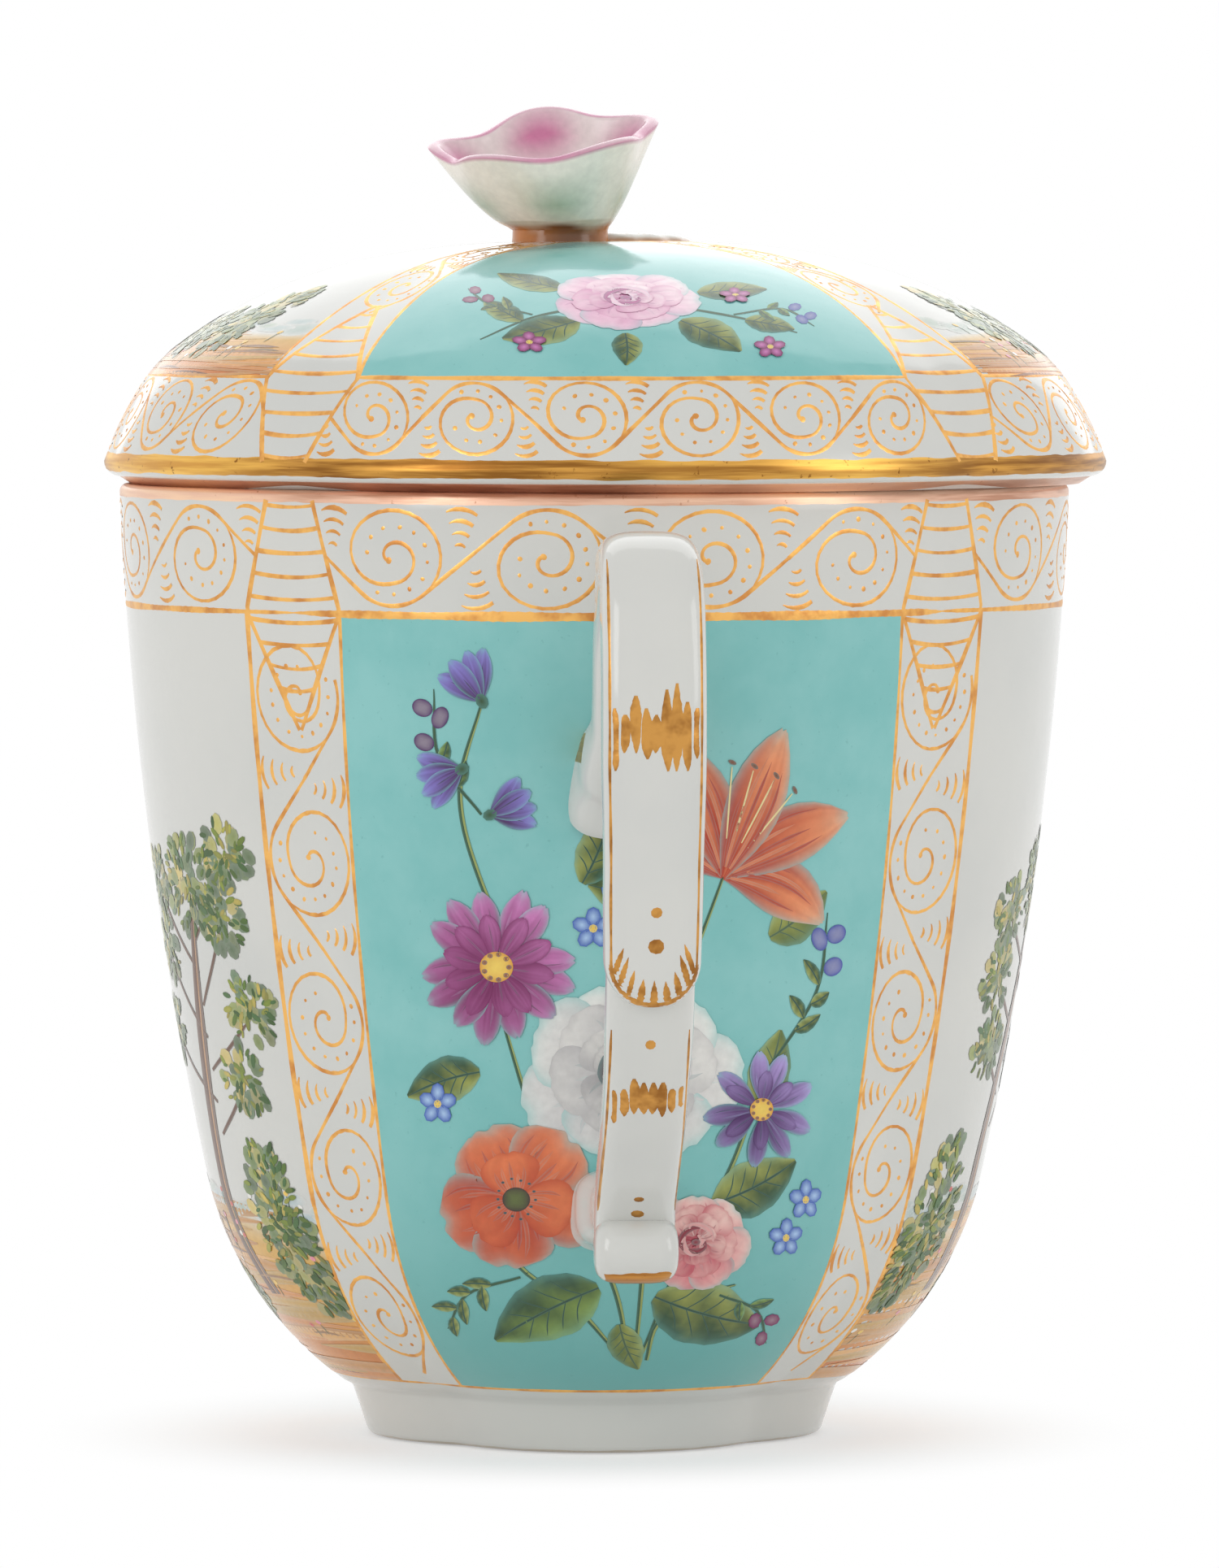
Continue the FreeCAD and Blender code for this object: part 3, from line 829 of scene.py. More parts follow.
# The leaf beside the knob, a sprig of clay in low relief that was pressed onto the crown of the cover
# before it was fired. Glazed white, with gold along its edge and veins.
def on_crown(x, y, lift):
    """A place on the top of the cover, straight above or below x and y of its middle."""
    turn, reach = atan2(y, x), hypot(x, y)
    radius = reach * LEAST / pressed(turn, LEAST)
    if radius > LEAST:
        radius = reach + LEAST - pressed(turn, LEAST)
    k = next(k for k, spot in enumerate(cover_shell.outline) if k > 12 and spot.real <= radius)
    a, b = cover_shell.outline[k - 1:k + 1]
    run = cover_shell.run[k - 1] + abs(b - a) * (a.real - radius) / (a.real - b.real)
    return cover_shell.lifted(turn, run, lift)


def leaf_spot(s, c, lift):
    """A place on the leaf: s runs from its stem to its tip, and c is -1 and 1 at its edges."""
    along = cmath.rect(1, radians(32))
    middle = STALK + along * (2.6 + 13 * s)
    place = middle + along * 1j * c * 3.0 * sin(pi * s) ** 0.85 * (1 + 0.06 * sin(9 * pi * s))
    return on_crown(place.real, place.imag, lift)


bm = bmesh.new()
paint = bm.verts.layers.float_color.new("paint")
for v in bmesh.ops.create_grid(bm, x_segments=40, y_segments=16, size=1)["verts"]:
    s, c = (v.co.x + 1) / 2, v.co.y
    vein = max(0.0, 1 - abs(c) * 9) + 0.5 * max(0.0, sin(14 * pi * (s - abs(c) * 0.16))) ** 6
    gilt = max(vein * 0.5, (abs(c) - 0.80) / 0.12)
    v[paint] = mix(WHITE, tone(176, 116, 52), gilt)
    swell = 0.85 * (1 - c ** 4) * min(1, 6 * s, 6 * (1 - s))
    v.co = leaf_spot(0.01 + 0.98 * s, c, swell - 0.08 - 0.12 * vein)
piece("knob_leaf", bm, painted("leaf enamel"))


# Gilding of the handle: a fine line down each edge of the strap, a toothed tip, two jagged bands and
# pairs of spots, all laid on the outer face with a full brush.
def on_strap(strap):
    """Flat drawing on the outer face of a strap."""
    def where(across, run, lift):
        half = strap.size(run)[0] / 2
        side = asin(min(abs(across) / max(half, 0.2), 0.998) ** (1 / BOXY)) / pi
        return strap.place(run, side if across > 0 else -side, lift)
    return where


def run_down(strap, height):
    """The last run at which the strap passes a height."""
    line = strap.shell.outline
    k = max(k for k, spot in enumerate(line) if spot.imag >= height)
    return strap.shell.run[k] + abs(line[min(k + 1, len(line) - 1)] - line[k]) * 0.5


def jagged(art, strap, height, width, tall, strokes):
    """A band of upright strokes, ragged at both ends."""
    for k in range(strokes):
        across = width * ((k + 0.5) / strokes - 0.5)
        low = run_down(strap, height + art.between(0.15, 0.55) * tall)
        high = run_down(strap, height - art.between(0.2, 0.6) * tall)
        lean = art.between(-0.15, 0.15)
        art.line([complex(across + lean * t / 9, low + (high - low) * t / 9) for t in range(10)],
                 width / strokes * 1.5, start=0.25, end=0.15)


def edge_line(art, strap, way, first, last, steps, width, start, end):
    """A line just inside one edge of a strap, from run to run."""
    runs = [first + (last - first) * k / steps for k in range(steps + 1)]
    art.line([complex(way * strap.size(run)[0] * 0.44, run) for run in runs], width, start, end)


gild = Drawing(13)
gild.onto(on_strap(upper))
tip = upper.length - upper.tip
jagged(gild, upper, 66.6, 7.9, 6.6, 9)
for height, radius in ((51.6, 0.55), (48.6, 0.75)):
    gild.dot(complex(0.1, run_down(upper, height)), radius)
shoulder = run_down(upper, 79.2)
for way in (-1, 1):
    edge_line(gild, upper, way, shoulder, tip, 70, 0.26, 0.3, 1)
    edge_line(gild, upper, way, upper.length * 0.16, upper.length * 0.41, 40, 0.3, 0.4, 0.4)
hem = [complex(3.65 * sin(radians(angle)), tip + 3.5 * cos(radians(angle))) for angle in range(-90, 91, 6)]
gild.line(hem, 0.5, start=1, end=1)
for k in range(9):
    angle = radians(-78 + 19.5 * k)
    root = complex(3.5 * sin(angle), tip + 3.3 * cos(angle))
    tooth = complex(-0.10 * root.real, -1) * gild.between(1.7, 3.0) * (1.25 - 0.35 * cos(angle))
    gild.line([root + tooth * t / 6 for t in range(7)], 0.62, start=1, end=0.1)
gild.onto(on_strap(lower))
gild.dot(complex(0, run_down(lower, 40.6)), 0.5)
jagged(gild, lower, 36.0, 6.6, 3.9, 8)
for height, radius in ((27.4, 0.5), (25.7, 0.7)):
    gild.dot(complex(0, run_down(lower, height)), radius)
first, last = run_down(lower, 41.5), lower.length * 0.86
for way in (-1, 1):
    edge = way * lower.size(first)[0] * 0.44
    gild.line([complex(edge, first + (last - first) * k / 40) for k in range(41)], 0.24, start=0.5)
heavy_gold = gold_finish("heavy gold", tone(150, 98, 42), tone(206, 150, 76))
piece("handle_gilding", gild.lay(), heavy_gold)


# Flower painting on the two turquoise lobes and on the cover between them. Enamel colours laid with a
# soft brush: each petal and leaf is one loaded stroke, with finer strokes over it.
def clipped(shell, lobe, band):
    """Flat drawing on a panel, which ends under the gold line of the white band beside it."""
    lay = on_lobe(shell, lobe)

    def where(across, run, lift):
        edge = half_lobe(shell, run, band(run))
        return lay(max(-edge, min(edge, across)), run, lift)
    return where


class Painting(Drawing):
    """Flowers and leaves. aim is in degrees, 0 to the right and 90 up. Each petal lies on the last."""

    def __init__(self, seed, ground):
        super().__init__(seed)
        self.ground = ground

    def onto(self, where):
        """Turns to another panel, where the first strokes lie lowest."""
        super().onto(where)
        self.level = 0.012

    def stroke(self, points, width, colour, start=0.25, end=0.25):
        """One stroke of a soft brush, just over what lies there."""
        length = sum(abs(b - a) for a, b in zip(points, points[1:]))
        spots = smooth(points, max(4, int(length / (len(points) - 1) / 0.8)))
        last, level = len(spots) - 1, self.level + 0.0015

        def spot(x, y):
            k = round((x + 1) / 2 * last)
            thin = min(1.0, start + (1 - start) * k / last * 4, end + (1 - end) * (1 - k / last) * 4)
            return beside(spots, k, y * width / 2 * thin), level, mix(colour, self.ground, 0.2 * y * y)

        self.patch(last, 2, spot)

    def dab(self, middle, long, short, aim, colour, rim=None, lift=0.002):
        """A round or oval touch, with its rim in another colour."""
        turn, rim = cmath.rect(1, radians(aim)), rim or mix(colour, self.ground, 0.25)
        if long > 1:
            def spot(x, y):
                off = complex(x * sqrt(1 - y * y / 2) * long, y * sqrt(1 - x * x / 2) * short)
                return middle + off * turn, self.level + lift, mix(colour, rim, max(abs(x), abs(y)) ** 2)
            self.patch(8, 6, spot)
            return
        made = bmesh.ops.create_circle(self.bm, cap_ends=True, cap_tris=True, segments=8, radius=1)["verts"]
        for v in made:
            place = middle + complex(v.co.x * long, v.co.y * short) * turn
            v[self.paint] = rim if v.co.length > 0.5 else colour
            v.co = (place.real, place.imag, self.level + lift)
        self.lay_if_full()

    def petal(self, root, aim, long, wide, deep, pale, curl=0.0, fat=1.25, blunt=0.55, veins=3, edge=None):
        """One petal from its root out, deep at the root and pale at the tip, streaked by the brush."""
        self.level += 0.004
        level, luck = self.level, self.luck
        phase, ruffle, shady = luck.uniform(0, 6), luck.uniform(0.03, 0.09), luck.choice((-1, 1))
        streaks, rim = [luck.uniform(-1, 1) for k in range(13)], edge or self.ground

        def at(s, c):
            way = cmath.rect(1, radians(aim + curl * s))
            full = max(sin(pi * min(max(s, 0.02), 0.985) ** fat), 0.0) ** blunt
            out = long * s * (1 + ruffle * sin(5 * c + phase) * s * full)
            return root + cmath.rect(out, radians(aim + curl * s / 2)) + way * 1j * c * wide / 2 * full

        def spot(x, y):
            s = (x + 1) / 2
            streak = streaks[round((y + 1) * 6)] * (0.32 - 0.2 * s)
            shade = mix(deep, pale, 1.1 * s ** 1.3 - 0.35 * max(0, y * shady) + streak)
            return at(s, y), level, mix(shade, rim, max(abs(y) ** 5, s ** 12) * 0.5)

        self.patch(9, 12, spot)
        for k in range(veins):
            c = ((k + 0.5) / veins - 0.5) * 1.4 + luck.uniform(-0.08, 0.08)
            reach = luck.uniform(0.45, 0.8)
            self.stroke([at(0.06 + reach * t / 4, c) for t in range(5)], wide * 0.05 + 0.05,
                        mix(deep, pale, 0.05 + 0.5 * (k % 2)), 0.7, 0.05)

    def ring(self, middle, count, inner, long, wide, deep, pale, squash=1.0, **how):
        """Petals set round a middle; squash flattens the ring as if it were seen aslant."""
        first = self.between(0, 360)
        for k in sorted(range(count), key=lambda k: self.luck.random()):
            aim = first + 360 * k / count + self.between(-7, 7)
            far = abs(complex(cos(radians(aim)), sin(radians(aim)) * squash))
            lit = 0.5 + 0.5 * sin(radians(aim) + 0.6)
            self.petal(middle + cmath.rect(inner * far, radians(aim)), aim,
                       long * far * self.between(0.9, 1.06), wide, mix(deep, pale, 0.25 * lit),
                       mix(pale, deep, 0.6 * (1 - lit)), self.between(-12, 12), **how)

    def leaf(self, root, aim, long, wide, light, dark, curl=0.0):
        """A leaf, dark along one half, with a midrib and side veins."""
        self.level += 0.001
        level = self.level

        def at(s, c):
            way = cmath.rect(wide / 2, radians(aim + curl * s)) * 1j * c
            full = sin(pi * min(max(s, 0.015), 0.985) ** 0.8) ** 0.75 * (1 + 0.07 * abs(sin(13 * s)))
            return root + cmath.rect(long * s, radians(aim + curl * s / 2)) + way * full

        def spot(x, y):
            s = (x + 1) / 2
            shade = mix(light, dark, 0.5 - 0.55 * y + 0.25 * sin(16 * s + 3 * y) + 0.2 * s)
            return at(s, y), level, mix(shade, self.ground, 0.3 * y ** 4)

        self.patch(12, 8, spot)
        ink = mix(dark, (0.01, 0.02, 0.01, 1), 0.45)
        self.stroke([at(s / 5, 0) for s in range(6)], 0.14 + 0.02 * wide, ink, 0.7, 0.2)
        if long > 4:
            for k in range(1, 5):
                for way in (-1, 1):
                    self.stroke([at(0.15 * k, 0.03 * way), at(0.15 * k + 0.09, 0.4 * way),
                                 at(0.15 * k + 0.16, 0.8 * way)], 0.12, ink, 0.7, 0.1)

    def spray(self, points, count, size, light, dark, bud=None):
        """A thin stem with small leaves left and right, and buds of a colour at its end."""
        self.stroke(points, 0.32, dark, 0.8, 0.3)
        line = smooth(points, 12)
        for k in range(count):
            spot = line[int((0.25 + 0.72 * k / count) * (len(line) - 1))]
            way = line[-1] - line[0]
            aim = atan2(way.imag, way.real) * 180 / pi + (50 if k % 2 else -50)
            if bud and k > count - 4:
                self.dab(spot + cmath.rect(size * 0.5, radians(aim)), size * 0.42, size * 0.32, aim,
                         mix(bud, PAPER, 0.25), bud)
            else:
                self.leaf(spot, aim, size * self.between(0.8, 1.2), size * 0.48, light, dark, 20)


def on_panels(name, seed, ground, shell, band, lobes, draw):
    """One picture painted on two opposite panels, the second time mirrored."""
    art = Painting(seed, ground)
    for lobe, flip in lobes:
        art.onto(clipped(shell, lobe, band))
        draw(art, flip)
    piece(name, art.lay(), enamels)


def over(base, flip):
    """Places on a panel, across and up from its foot at base, mirrored where flip is -1."""
    return lambda across, height: complex(across * flip, base + height)


def turned(aim, flip):
    """A direction, mirrored in the same way."""
    return aim if flip > 0 else 180 - aim


enamels = painted("enamel colours")
TURQUOISE = tone(122, 198, 194)     # the ground that thin paint lets through
LEAF, DEEP_LEAF, OLIVE = tone(126, 152, 70), tone(44, 74, 38), tone(150, 156, 74)
GREY, PAPER = tone(112, 108, 110), tone(236, 234, 228)


def rose(art, middle, size, deep, middling, pale, squash=0.85):
    """A full rose: rings of broad petals that lie closer and deeper towards the heart."""
    shade = mix(deep, middling, 0.5)
    art.dab(middle, size * 0.62, size * 0.5, 0, shade, shade)
    for count, share in ((7, 1.0), (6, 0.76), (5, 0.54), (4, 0.36)):
        art.ring(middle + 0.06j * size * (1 - share), count, size * 0.22 * share, size * 0.78 * share,
                 size * 0.86 * share, mix(deep, middling, share), pale, squash, blunt=0.42, fat=1.5,
                 edge=None if share == 1.0 else mix(middling, deep, 0.3))
    for k in range(5):
        turn = 75 * k
        reach = size * (0.30 - 0.045 * k)
        art.stroke([middle + cmath.rect(reach, radians(turn + 28 * t)) for t in range(6)], size * 0.10,
                   deep if k % 2 else mix(middling, pale, 0.5), 0.2, 0.2)
    art.dab(middle, size * 0.08, size * 0.06, 0, deep)


def daisy(art, middle, size, deep, pale, petals=13, squash=0.9):
    """A many-petalled star with a yellow eye ringed by dark spots."""
    art.ring(middle, petals, size * 0.14, size * 0.86, size * 0.34, deep, pale, squash, fat=1.35, veins=2)
    art.ring(middle, petals - 3, size * 0.12, size * 0.58, size * 0.26, deep, mix(deep, pale, 0.7), squash,
             fat=1.3, veins=1, edge=deep)
    art.dab(middle, size * 0.20, size * 0.18, 0, tone(240, 206, 96), tone(214, 150, 60))
    for k in range(9):
        art.dab(middle + cmath.rect(size * 0.15, 0.7 * k), size * 0.035, size * 0.03, 0, tone(150, 78, 40))


def poppy(art, middle, size, deep, pale):
    """Broad ruffled petals round a dark heart."""
    art.ring(middle, 5, size * 0.05, size, size * 1.02, deep, pale, 0.85, blunt=0.4, fat=1.6, veins=7)
    art.ring(middle, 3, size * 0.03, size * 0.66, size * 0.74, mix(deep, pale, 0.2), pale, 0.8, blunt=0.42,
             fat=1.5, veins=5, edge=deep)
    art.dab(middle, size * 0.17, size * 0.15, 0, tone(92, 104, 52), tone(60, 40, 38), 0.008)
    for k in range(14):
        spot = middle + cmath.rect(size * art.between(0.2, 0.27), 0.45 * k)
        art.dab(spot, 0.16, 0.12, 0, tone(58, 30, 40))


def bellflower(art, root, aim, size, deep, pale):
    """A small nodding bell of four petals, on its green cup."""
    for off in (-26, 26, -9, 9):
        art.petal(root, aim + off, size, size * 0.42, deep, pale, off * 0.5, veins=1)
    art.dab(root, size * 0.16, size * 0.12, aim, DEEP_LEAF)


def star(art, middle, size, colour, pale):
    """A tiny flower of five round petals with a yellow eye."""
    for aim in range(90, 450, 72):
        art.dab(middle + cmath.rect(size * 0.55, radians(aim)), size * 0.46, size * 0.36, aim, pale, colour)
    art.dab(middle, size * 0.2, size * 0.2, 0, tone(238, 196, 74))


def lily(art, root, aim, size, deep, pale):
    """An open lily seen from the side, its petals rolling back, with long stamens."""
    for off, long in ((-62, 0.8), (62, 0.82), (-30, 1.0), (32, 0.98), (0, 1.04)):
        art.petal(root, aim + off, size * long, size * 0.40, deep, pale, off * 0.9, fat=1.1, blunt=0.7,
                  veins=5)
    for off in (-18, -5, 8, 20):
        way = cmath.rect(1, radians(aim + off))
        art.stroke([root + way * size * 0.25, root + way * size * 0.5, root + way * size * 0.72], 0.16,
                   tone(236, 214, 150), 0.6, 0.6)
        art.dab(root + way * size * 0.75, 0.42, 0.2, aim + off + 70, tone(122, 62, 30))


MAGENTA, LILAC, VIOLET, BLUE = tone(116, 18, 86), tone(204, 122, 184), tone(70, 24, 92), tone(62, 78, 160)
FLAME, PEACH = tone(176, 52, 22), tone(236, 148, 98)


def bouquet(art, flip):
    """The large spray of a panel, on its lower middle, as seen with the panel's foot below."""
    at = over(ground_run, flip)
    for points in (((1, 5), (-1, 14), (-7, 26), (-12, 41)), ((1.5, 5), (2, 18), (3, 34), (9, 52)),
                   ((2, 5), (5, 15), (10, 25), (13, 34)), ((0, 5.5), (-4, 11), (-9, 15), (-12, 20)),
                   ((2.6, 4.5), (3.4, 9), (7, 12), (10.5, 13)), ((-8, 40), (-13, 50), (-15, 58), (-13, 66))):
        art.stroke([at(*spot) for spot in points], 0.5, DEEP_LEAF, 0.7, 0.5)
        art.level += 0.0012
        art.stroke([at(x + 0.12, y) for x, y in points], 0.2, OLIVE, 0.7, 0.3)
        art.level += 0.0012
    art.level += 0.004
    for across, height, aim, long, wide in (
            (-2, 13, 205, 11, 6.6), (3, 12, -28, 11, 7.0), (-6, 21, 160, 9, 5), (8, 21, 15, 9, 5),
            (12, 30, 62, 7, 4), (-13, 33, 190, 7.5, 4), (4, 47, 150, 8, 4.4), (8, 52, 20, 7, 4),
            (-4, 50, 60, 7, 3.6), (13, 45, 25, 7, 4), (-9, 39, 130, 7, 3.6), (0, 9, -80, 6, 3)):
        light, dark = art.luck.choice(((LEAF, DEEP_LEAF), (OLIVE, DEEP_LEAF), (OLIVE, tone(96, 112, 52))))
        art.leaf(at(across, height), turned(aim, flip), long, wide, light, dark, 18 * flip)
    art.spray([at(-13, 56), at(-17, 61), at(-17.5, 67)], 6, 2.4, LEAF, DEEP_LEAF, VIOLET)
    art.spray([at(13, 33), at(18, 40), at(19, 47)], 7, 2.6, OLIVE, DEEP_LEAF, BLUE)
    art.spray([at(-9, 14), at(-14, 12), at(-16, 8)], 6, 2.4, OLIVE, DEEP_LEAF)
    art.spray([at(9, 12), at(13, 10), at(14.5, 6)], 5, 2.2, LEAF, DEEP_LEAF, MAGENTA)
    for across, height, aim, size in ((-13, 66, 120, 4.6), (-14.8, 60, 200, 4.4), (-12.2, 56, 20, 4.2)):
        bellflower(art, at(across, height), turned(aim, flip), size, VIOLET, tone(132, 120, 200))
    art.level = 0.05
    rose(art, at(0.5, 33), 9.8, GREY, tone(200, 198, 198), PAPER)
    for level, draw in ((0.05, lambda: lily(art, at(8.5, 50.5), turned(66, flip), 13.5, FLAME, PEACH)),
                        (0.08, lambda: daisy(art, at(-11.5, 42.5), 7.6, MAGENTA, LILAC)),
                        (0.08, lambda: poppy(art, at(-9.5, 21.5), 7.4, FLAME, tone(232, 128, 78))),
                        (0.08, lambda: daisy(art, at(12.5, 29.5), 5.8, VIOLET, tone(176, 152, 214), 9)),
                        (0.08, lambda: rose(art, at(6.5, 17.5), 5.4, tone(140, 26, 48), tone(208, 96, 110),
                                            tone(244, 206, 196)))):
        art.level = level
        draw()
    art.level = 0.09
    for across, height in ((-3, 46), (-0.5, 49), (-17, 30), (17.5, 21), (15.5, 17.5), (2, 53)):
        star(art, at(across, height), 1.9, tone(62, 96, 176), tone(170, 200, 234))


on_panels("cup_flowers", 21, TURQUOISE, cup_shell, cup_band, ((3, 1), (1, -1)), bouquet)


def garland(art, flip):
    """The smaller spray of the cover: one rose between leaves and buds."""
    at = over(high_run, flip)
    art.stroke([at(-15, 6), at(-8, 9), at(0, 11), at(8, 9), at(14, 5)], 0.4, DEEP_LEAF, 0.5, 0.4)
    for across, height, aim, long, wide in (
            (-4, 8, 215, 7, 4.2), (-6, 13, 165, 7, 3.8), (5, 8, -30, 7.5, 4.2), (6, 14, 25, 7, 3.6),
            (-10, 8, 190, 5, 2.8), (10, 8, 40, 5, 2.8), (1, 6, -95, 4.5, 2.6)):
        art.leaf(at(across, height), turned(aim, flip), long, wide, OLIVE, DEEP_LEAF, 15 * flip)
    art.spray([at(-9, 9), at(-14, 10), at(-17, 7)], 6, 2.0, LEAF, DEEP_LEAF, BLUE)
    art.spray([at(9, 9), at(13, 11), at(15, 14)], 5, 2.0, OLIVE, DEEP_LEAF, MAGENTA)
    rose(art, at(0.5, 12), 6.6, tone(178, 84, 140), tone(222, 156, 192), tone(250, 232, 236), 0.8)
    for across, height in ((-9.5, 12.5), (9.5, 4.5), (-12, 3.8)):
        star(art, at(across, height), 1.6, MAGENTA, LILAC)


on_panels("cover_flowers", 22, TURQUOISE, cover_shell, dome_band, ((3, -1), (1, 1)), garland)


# Landscapes on the two white lobes and on the cover between them, in the same enamel colours: warm ground
# in long strokes, trees, bushes, a fence and meadow flowers. The sky is the white glaze, left open.
EARTHS = [tone(*c) for c in ((224, 150, 74), (206, 122, 58), (190, 132, 72), (232, 176, 104), (168, 104, 56),
                             (178, 148, 70))]
GREENS = [tone(*c) for c in ((96, 124, 38), (142, 156, 50), (58, 88, 36), (184, 178, 74), (78, 116, 66))]
BARK = tone(98, 62, 40)


def meadow(art, base, width, tall, count):
    """Ground as one soft field, paler towards a wavy skyline, with level strokes over it."""
    def field(x, y):
        s = (y + 1) / 2
        height = base + tall * s * (0.92 + 0.10 * sin(2.3 * x + 1.2) + 0.04 * sin(7 * x))
        near = mix(EARTHS[1], EARTHS[0], 0.5 + 0.5 * sin(5 * x + 9 * s))
        colour = mix(near, mix(EARTHS[3], GREENS[3], 0.45), 1.1 * s - 0.1)
        return complex(x * width * 0.55, height), art.level, mix(colour, art.ground, (s - 0.84) / 0.16)

    art.patch(48, 16, field)
    art.level += 0.002
    for k in range(count):
        share = k / count
        height = base + tall * (1 - share)
        middle = art.between(-0.6, 0.6) * width * share
        long = width * art.between(0.5, 1.2) * (0.6 + 0.5 * share)
        wave = art.between(-0.5, 0.5)
        earth, green = art.luck.choice(EARTHS), art.luck.choice(GREENS)
        colour = mix(mix(earth, green, 0.5 * (1 - share) * art.luck.random()), EARTHS[3], 0.35)
        points = [complex(middle + long * (t / 5 - 0.5), height + wave * sin(t) * 1.4) for t in range(6)]
        art.level += 0.0008
        art.stroke(points, tall / count * art.between(1.2, 2.6), colour, 0.1, 0.1)
    for k in range(count // 2):
        middle = complex(art.between(-0.5, 0.5) * width, base + tall * art.between(0.0, 0.85))
        long = art.between(2, 6)
        colour = mix(BARK, art.luck.choice(EARTHS), 0.3)
        art.stroke([middle - long, middle + 0.2j, middle + long], 0.26, colour, 0.1, 0.1)


def bush(art, middle, wide, tall, count):
    """A clump of foliage: broad pale dabs, then leaves over them, darker low down, lit from the left."""
    for k in range(count):
        way, far = art.between(0, 2 * pi), art.luck.random() ** 0.55
        off = complex(0.8 * wide * far * cos(way), tall * (0.5 + 0.62 * far * sin(way)))
        lit = 0.35 + 0.5 * off.imag / tall - 0.3 * off.real / wide + art.between(-0.25, 0.25)
        colour = mix(GREENS[2], art.luck.choice(GREENS + [tone(214, 190, 96)]), lit)
        under = k < count * 0.4
        size = art.between(0.75, 1.0) if under else art.between(0.38, 0.75)
        aim = degrees(way) + art.between(-40, 40)
        art.dab(middle + off, size, size * (0.75 if under else 0.42), aim,
                mix(colour, art.ground, 0.1 if under else 0.0),
                mix(colour, art.ground if under else GREENS[2], 0.22), 0.006 + 0.0003 * k)


def tree(art, foot, tall, wide):
    """A leaning trunk with a few boughs and a loose crown."""
    top = foot + complex(wide * 0.25, tall * 0.8)
    art.stroke([foot, foot + complex(-0.6, tall * 0.3), top], tall * 0.035 + 0.4, BARK, 1.0, 0.3)
    art.stroke([foot + 0.3, foot + complex(-0.3, tall * 0.3), top + 0.2], 0.3, tone(190, 140, 90), 0.8, 0.2)
    for k in range(7):
        share = 0.42 + 0.08 * k
        start = foot + (top - foot) * share
        way = complex((-1) ** k * wide * art.between(0.35, 0.6), tall * art.between(0.08, 0.2))
        art.stroke([start, start + way * 0.5 - 0.3j, start + way], 0.4, BARK, 0.8, 0.2)
        bush(art, start + way - 2.0j, wide * 0.27, tall * 0.11, 70)
    bush(art, top - 2.5j, wide * 0.4, tall * 0.16, 130)


def fence(art, left, length, tall):
    """Posts and two rails, a little out of true."""
    for k in range(6):
        post = left + complex(length * k / 5, 0.5 * sin(1.7 * k))
        art.stroke([post, post + complex(0.2 * sin(2 * k), tall)], 0.5, BARK, 0.9, 0.8)
    for share in (0.42, 0.8):
        rail = [complex(length * k / 5, share * tall + 0.35 * sin(1.7 * k + share)) for k in range(6)]
        art.stroke([left + spot for spot in rail], 0.32, mix(BARK, EARTHS[3], 0.3), 0.8, 0.8)


def landscape(art, base, width, tall, flip, trees=True):
    """Far hills, a meadow, trees and a fence, or bushes alone, and small flowers in the grass."""
    at = over(base, flip)
    for k in range(26):
        middle = complex(width * (k / 26 - 0.48), base + tall * 0.265 + art.between(-0.4, 1.3))
        far = mix(tone(168, 192, 200), tone(150, 172, 148), art.luck.random())
        long, high = art.between(1.4, 2.8), art.between(0.5, 1.2)
        art.dab(middle, long, high, 0, mix(far, art.ground, 0.3), art.ground)
    meadow(art, base - 0.4, width, tall * 0.27, 30)
    if trees:
        fence(art, complex(4 * flip - 6, base + tall * 0.20), 15, 3.4)
        tree(art, at(-9, tall * 0.14), tall * 0.66, 17)
        tree(art, at(17, tall * 0.20), tall * 0.36, 9)
        for across, up, wide, high, count in ((11, 0.16, 5.0, 0.13, 220), (-17, 0.14, 5.0, 0.2, 240),
                                              (21, 0.2, 3.2, 0.2, 160), (-2, 0.1, 4.0, 0.07, 110)):
            bush(art, at(across, tall * up), wide, tall * high, count)
    else:
        for across, high in ((-11, 0.36), (12, 0.4), (-3, 0.2), (5, 0.24)):
            bush(art, at(across, tall * 0.12), 4.4, tall * high, 150)
    for k in range(46):
        place = complex(art.between(-0.45, 0.45) * width, base + tall * art.between(0.08, 0.3))
        colour = art.luck.choice((tone(206, 58, 44), tone(240, 196, 70), tone(226, 130, 150), PAPER))
        art.dab(place, 0.34, 0.26, 0, colour)
        art.stroke([place - 0.2j, place - 0.9j, place - complex(0.1, 1.5)], 0.14, GREENS[2], 0.5, 0.2)


on_panels("cup_landscapes", 23, WHITE, cup_shell, cup_band, ((0, 1), (2, -1)),
          lambda art, flip: landscape(art, ground_run + 0.4, 52, 70, flip))
on_panels("cover_landscapes", 24, WHITE, cover_shell, dome_band, ((0, -1), (2, 1)),
          lambda art, flip: landscape(art, high_run + 0.3, 46, 24, flip, False))


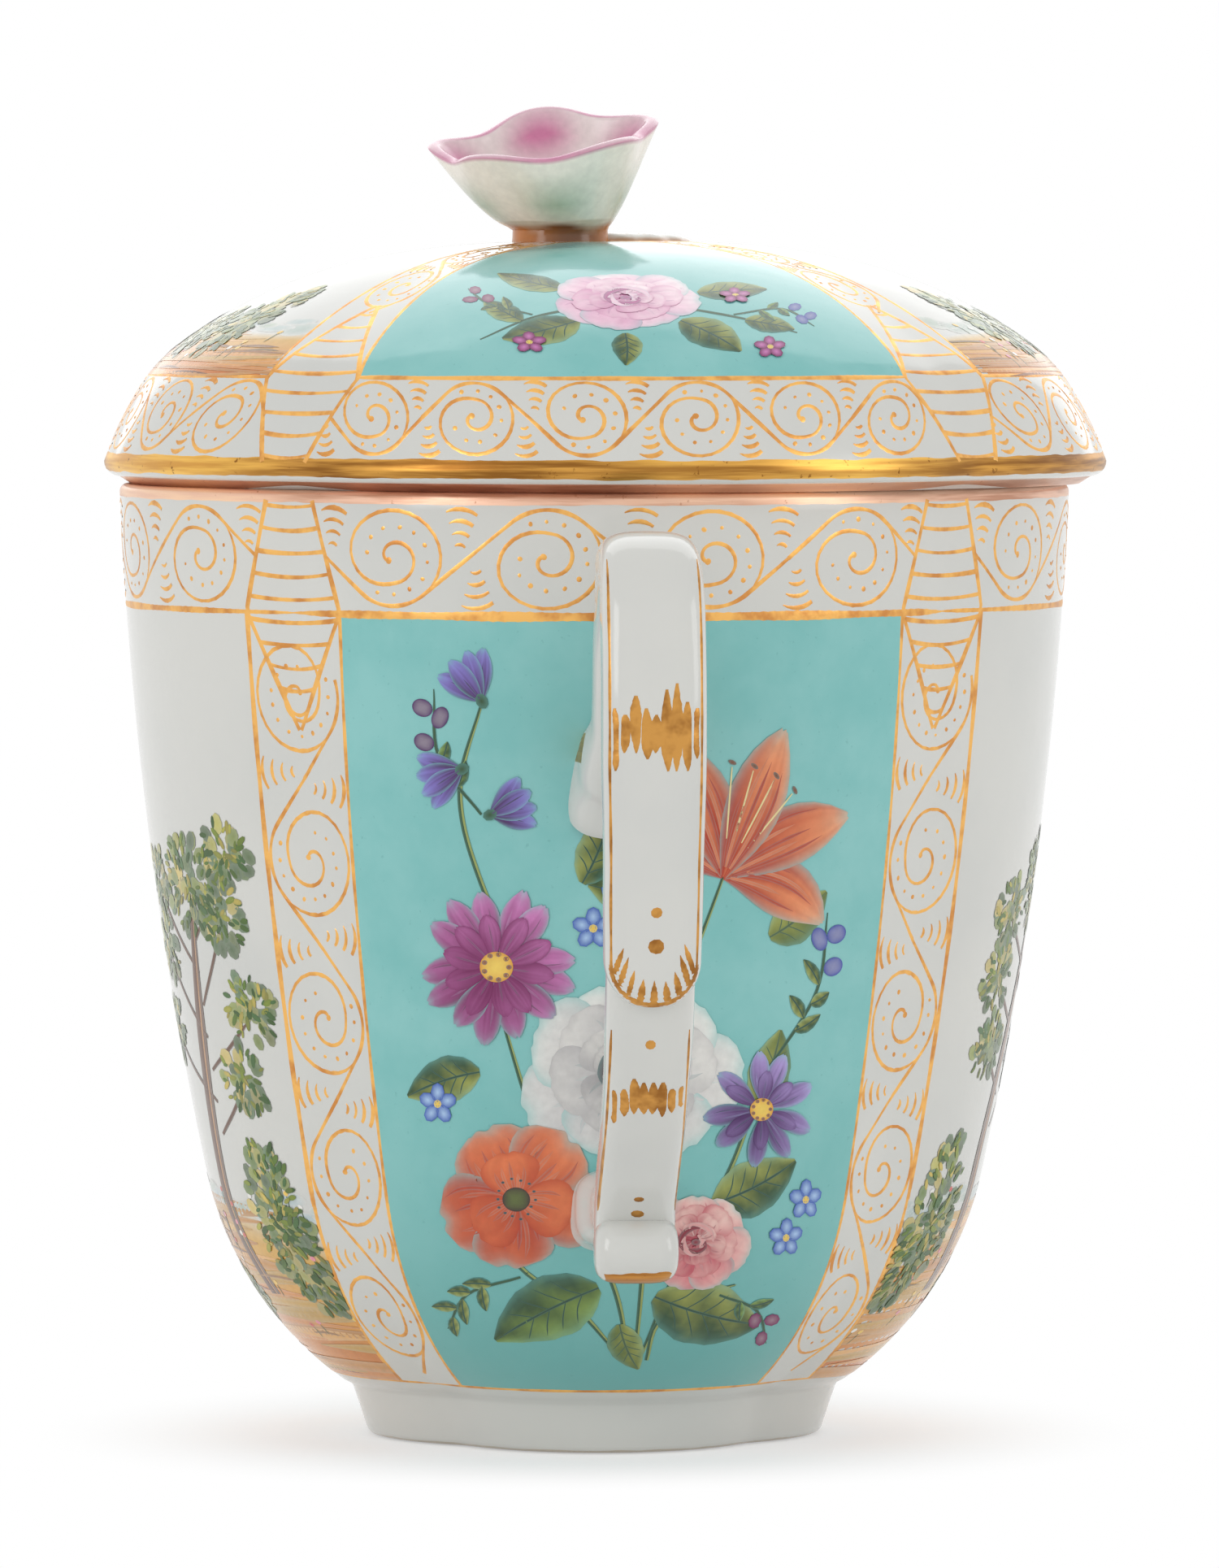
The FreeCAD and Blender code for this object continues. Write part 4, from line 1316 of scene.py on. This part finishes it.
# The set: a pale floor, a soft overhead lamp behind the cup, two soft lamps in front of it, an even white
# sky, and the camera where the photograph was taken from.
bpy.ops.mesh.primitive_plane_add(size=8, location=(0, 0, -0.0001))
floor = bpy.context.object
floor.name = "floor"
grey = (0.93, 0.93, 0.93, 1)
pale, shader, place = finish_of("floor", Roughness=0.9, Base_Color=grey, Specular_IOR_Level=0)
far = place.node("VectorMath", 1, {0: place}, operation="LENGTH").ease(0.024, 0.052) * 0.54 + 0.46
plain = place.node("Emission", 0, {"Color": (1, 1, 1, 1), "Strength": 1.0})


def backdrop_seen(wire):
    """1 where the eye sees the backdrop, straight or in a gloss, and 0 where it only lights the cup."""
    rays = wire.node("LightPath").out.node.outputs
    return sum(Wire(wire.tree, rays[f"Is {kind} Ray"]) for kind in ("Camera", "Glossy", "Transmission"))


lit = Wire(place.tree, shader.outputs[0])
both = place.node("MixShader", 0, {0: far * backdrop_seen(place), 1: lit, 2: plain})
link(both, place.tree.nodes["Material Output"], "Surface")
floor.data.materials.append(pale)


def lamp(name, place, aim, size, power):
    """A rectangle of light that faces aim."""
    light = bpy.data.lights.new(name, "AREA")
    light.shape, light.size, light.size_y, light.energy = "RECTANGLE", size[0], size[1], power
    made = bpy.data.objects.new(name, light)
    made.location, made.visible_camera = place, False
    made.rotation_euler = (Vector(place) - Vector(aim)).to_track_quat("Z", "Y").to_euler()
    bpy.context.collection.objects.link(made)


lamp("overhead", (0.1, 0.9, 0.78), (0, 0, 0.1), (1.5, 1.3), 6)
lamp("left window", (-1.1, -0.9, 0.55), (0, 0, 0.06), (0.5, 0.9), 4)
lamp("right window", (1.2, -0.7, 0.5), (0, 0, 0.06), (0.5, 0.9), 3)
world = bpy.data.worlds.new("studio")
bpy.context.scene.world = world
world.use_nodes = True
sky = world.node_tree.nodes["Background"]
link(backdrop_seen(Wire(world.node_tree, sky.outputs[0])) * 0.29 + 0.71, sky, "Strength")
sky.inputs["Color"].default_value = (1, 1, 1, 1)

camera = bpy.data.cameras.new("camera")
camera.lens, camera.sensor_width, camera.sensor_fit = 271.7, 36, "AUTO"
camera.clip_start = 0.05
eye, round_by, distance, height = bpy.data.objects.new("camera", camera), radians(-4.2), 1.07, 0.1083
eye.location = sin(round_by) * distance, -cos(round_by) * distance, height
eye.rotation_euler = radians(90 - 2.653), 0, round_by - radians(0.073)
bpy.context.collection.objects.link(eye)
bpy.context.scene.camera = eye
bpy.context.scene.view_settings.view_transform = "Standard"
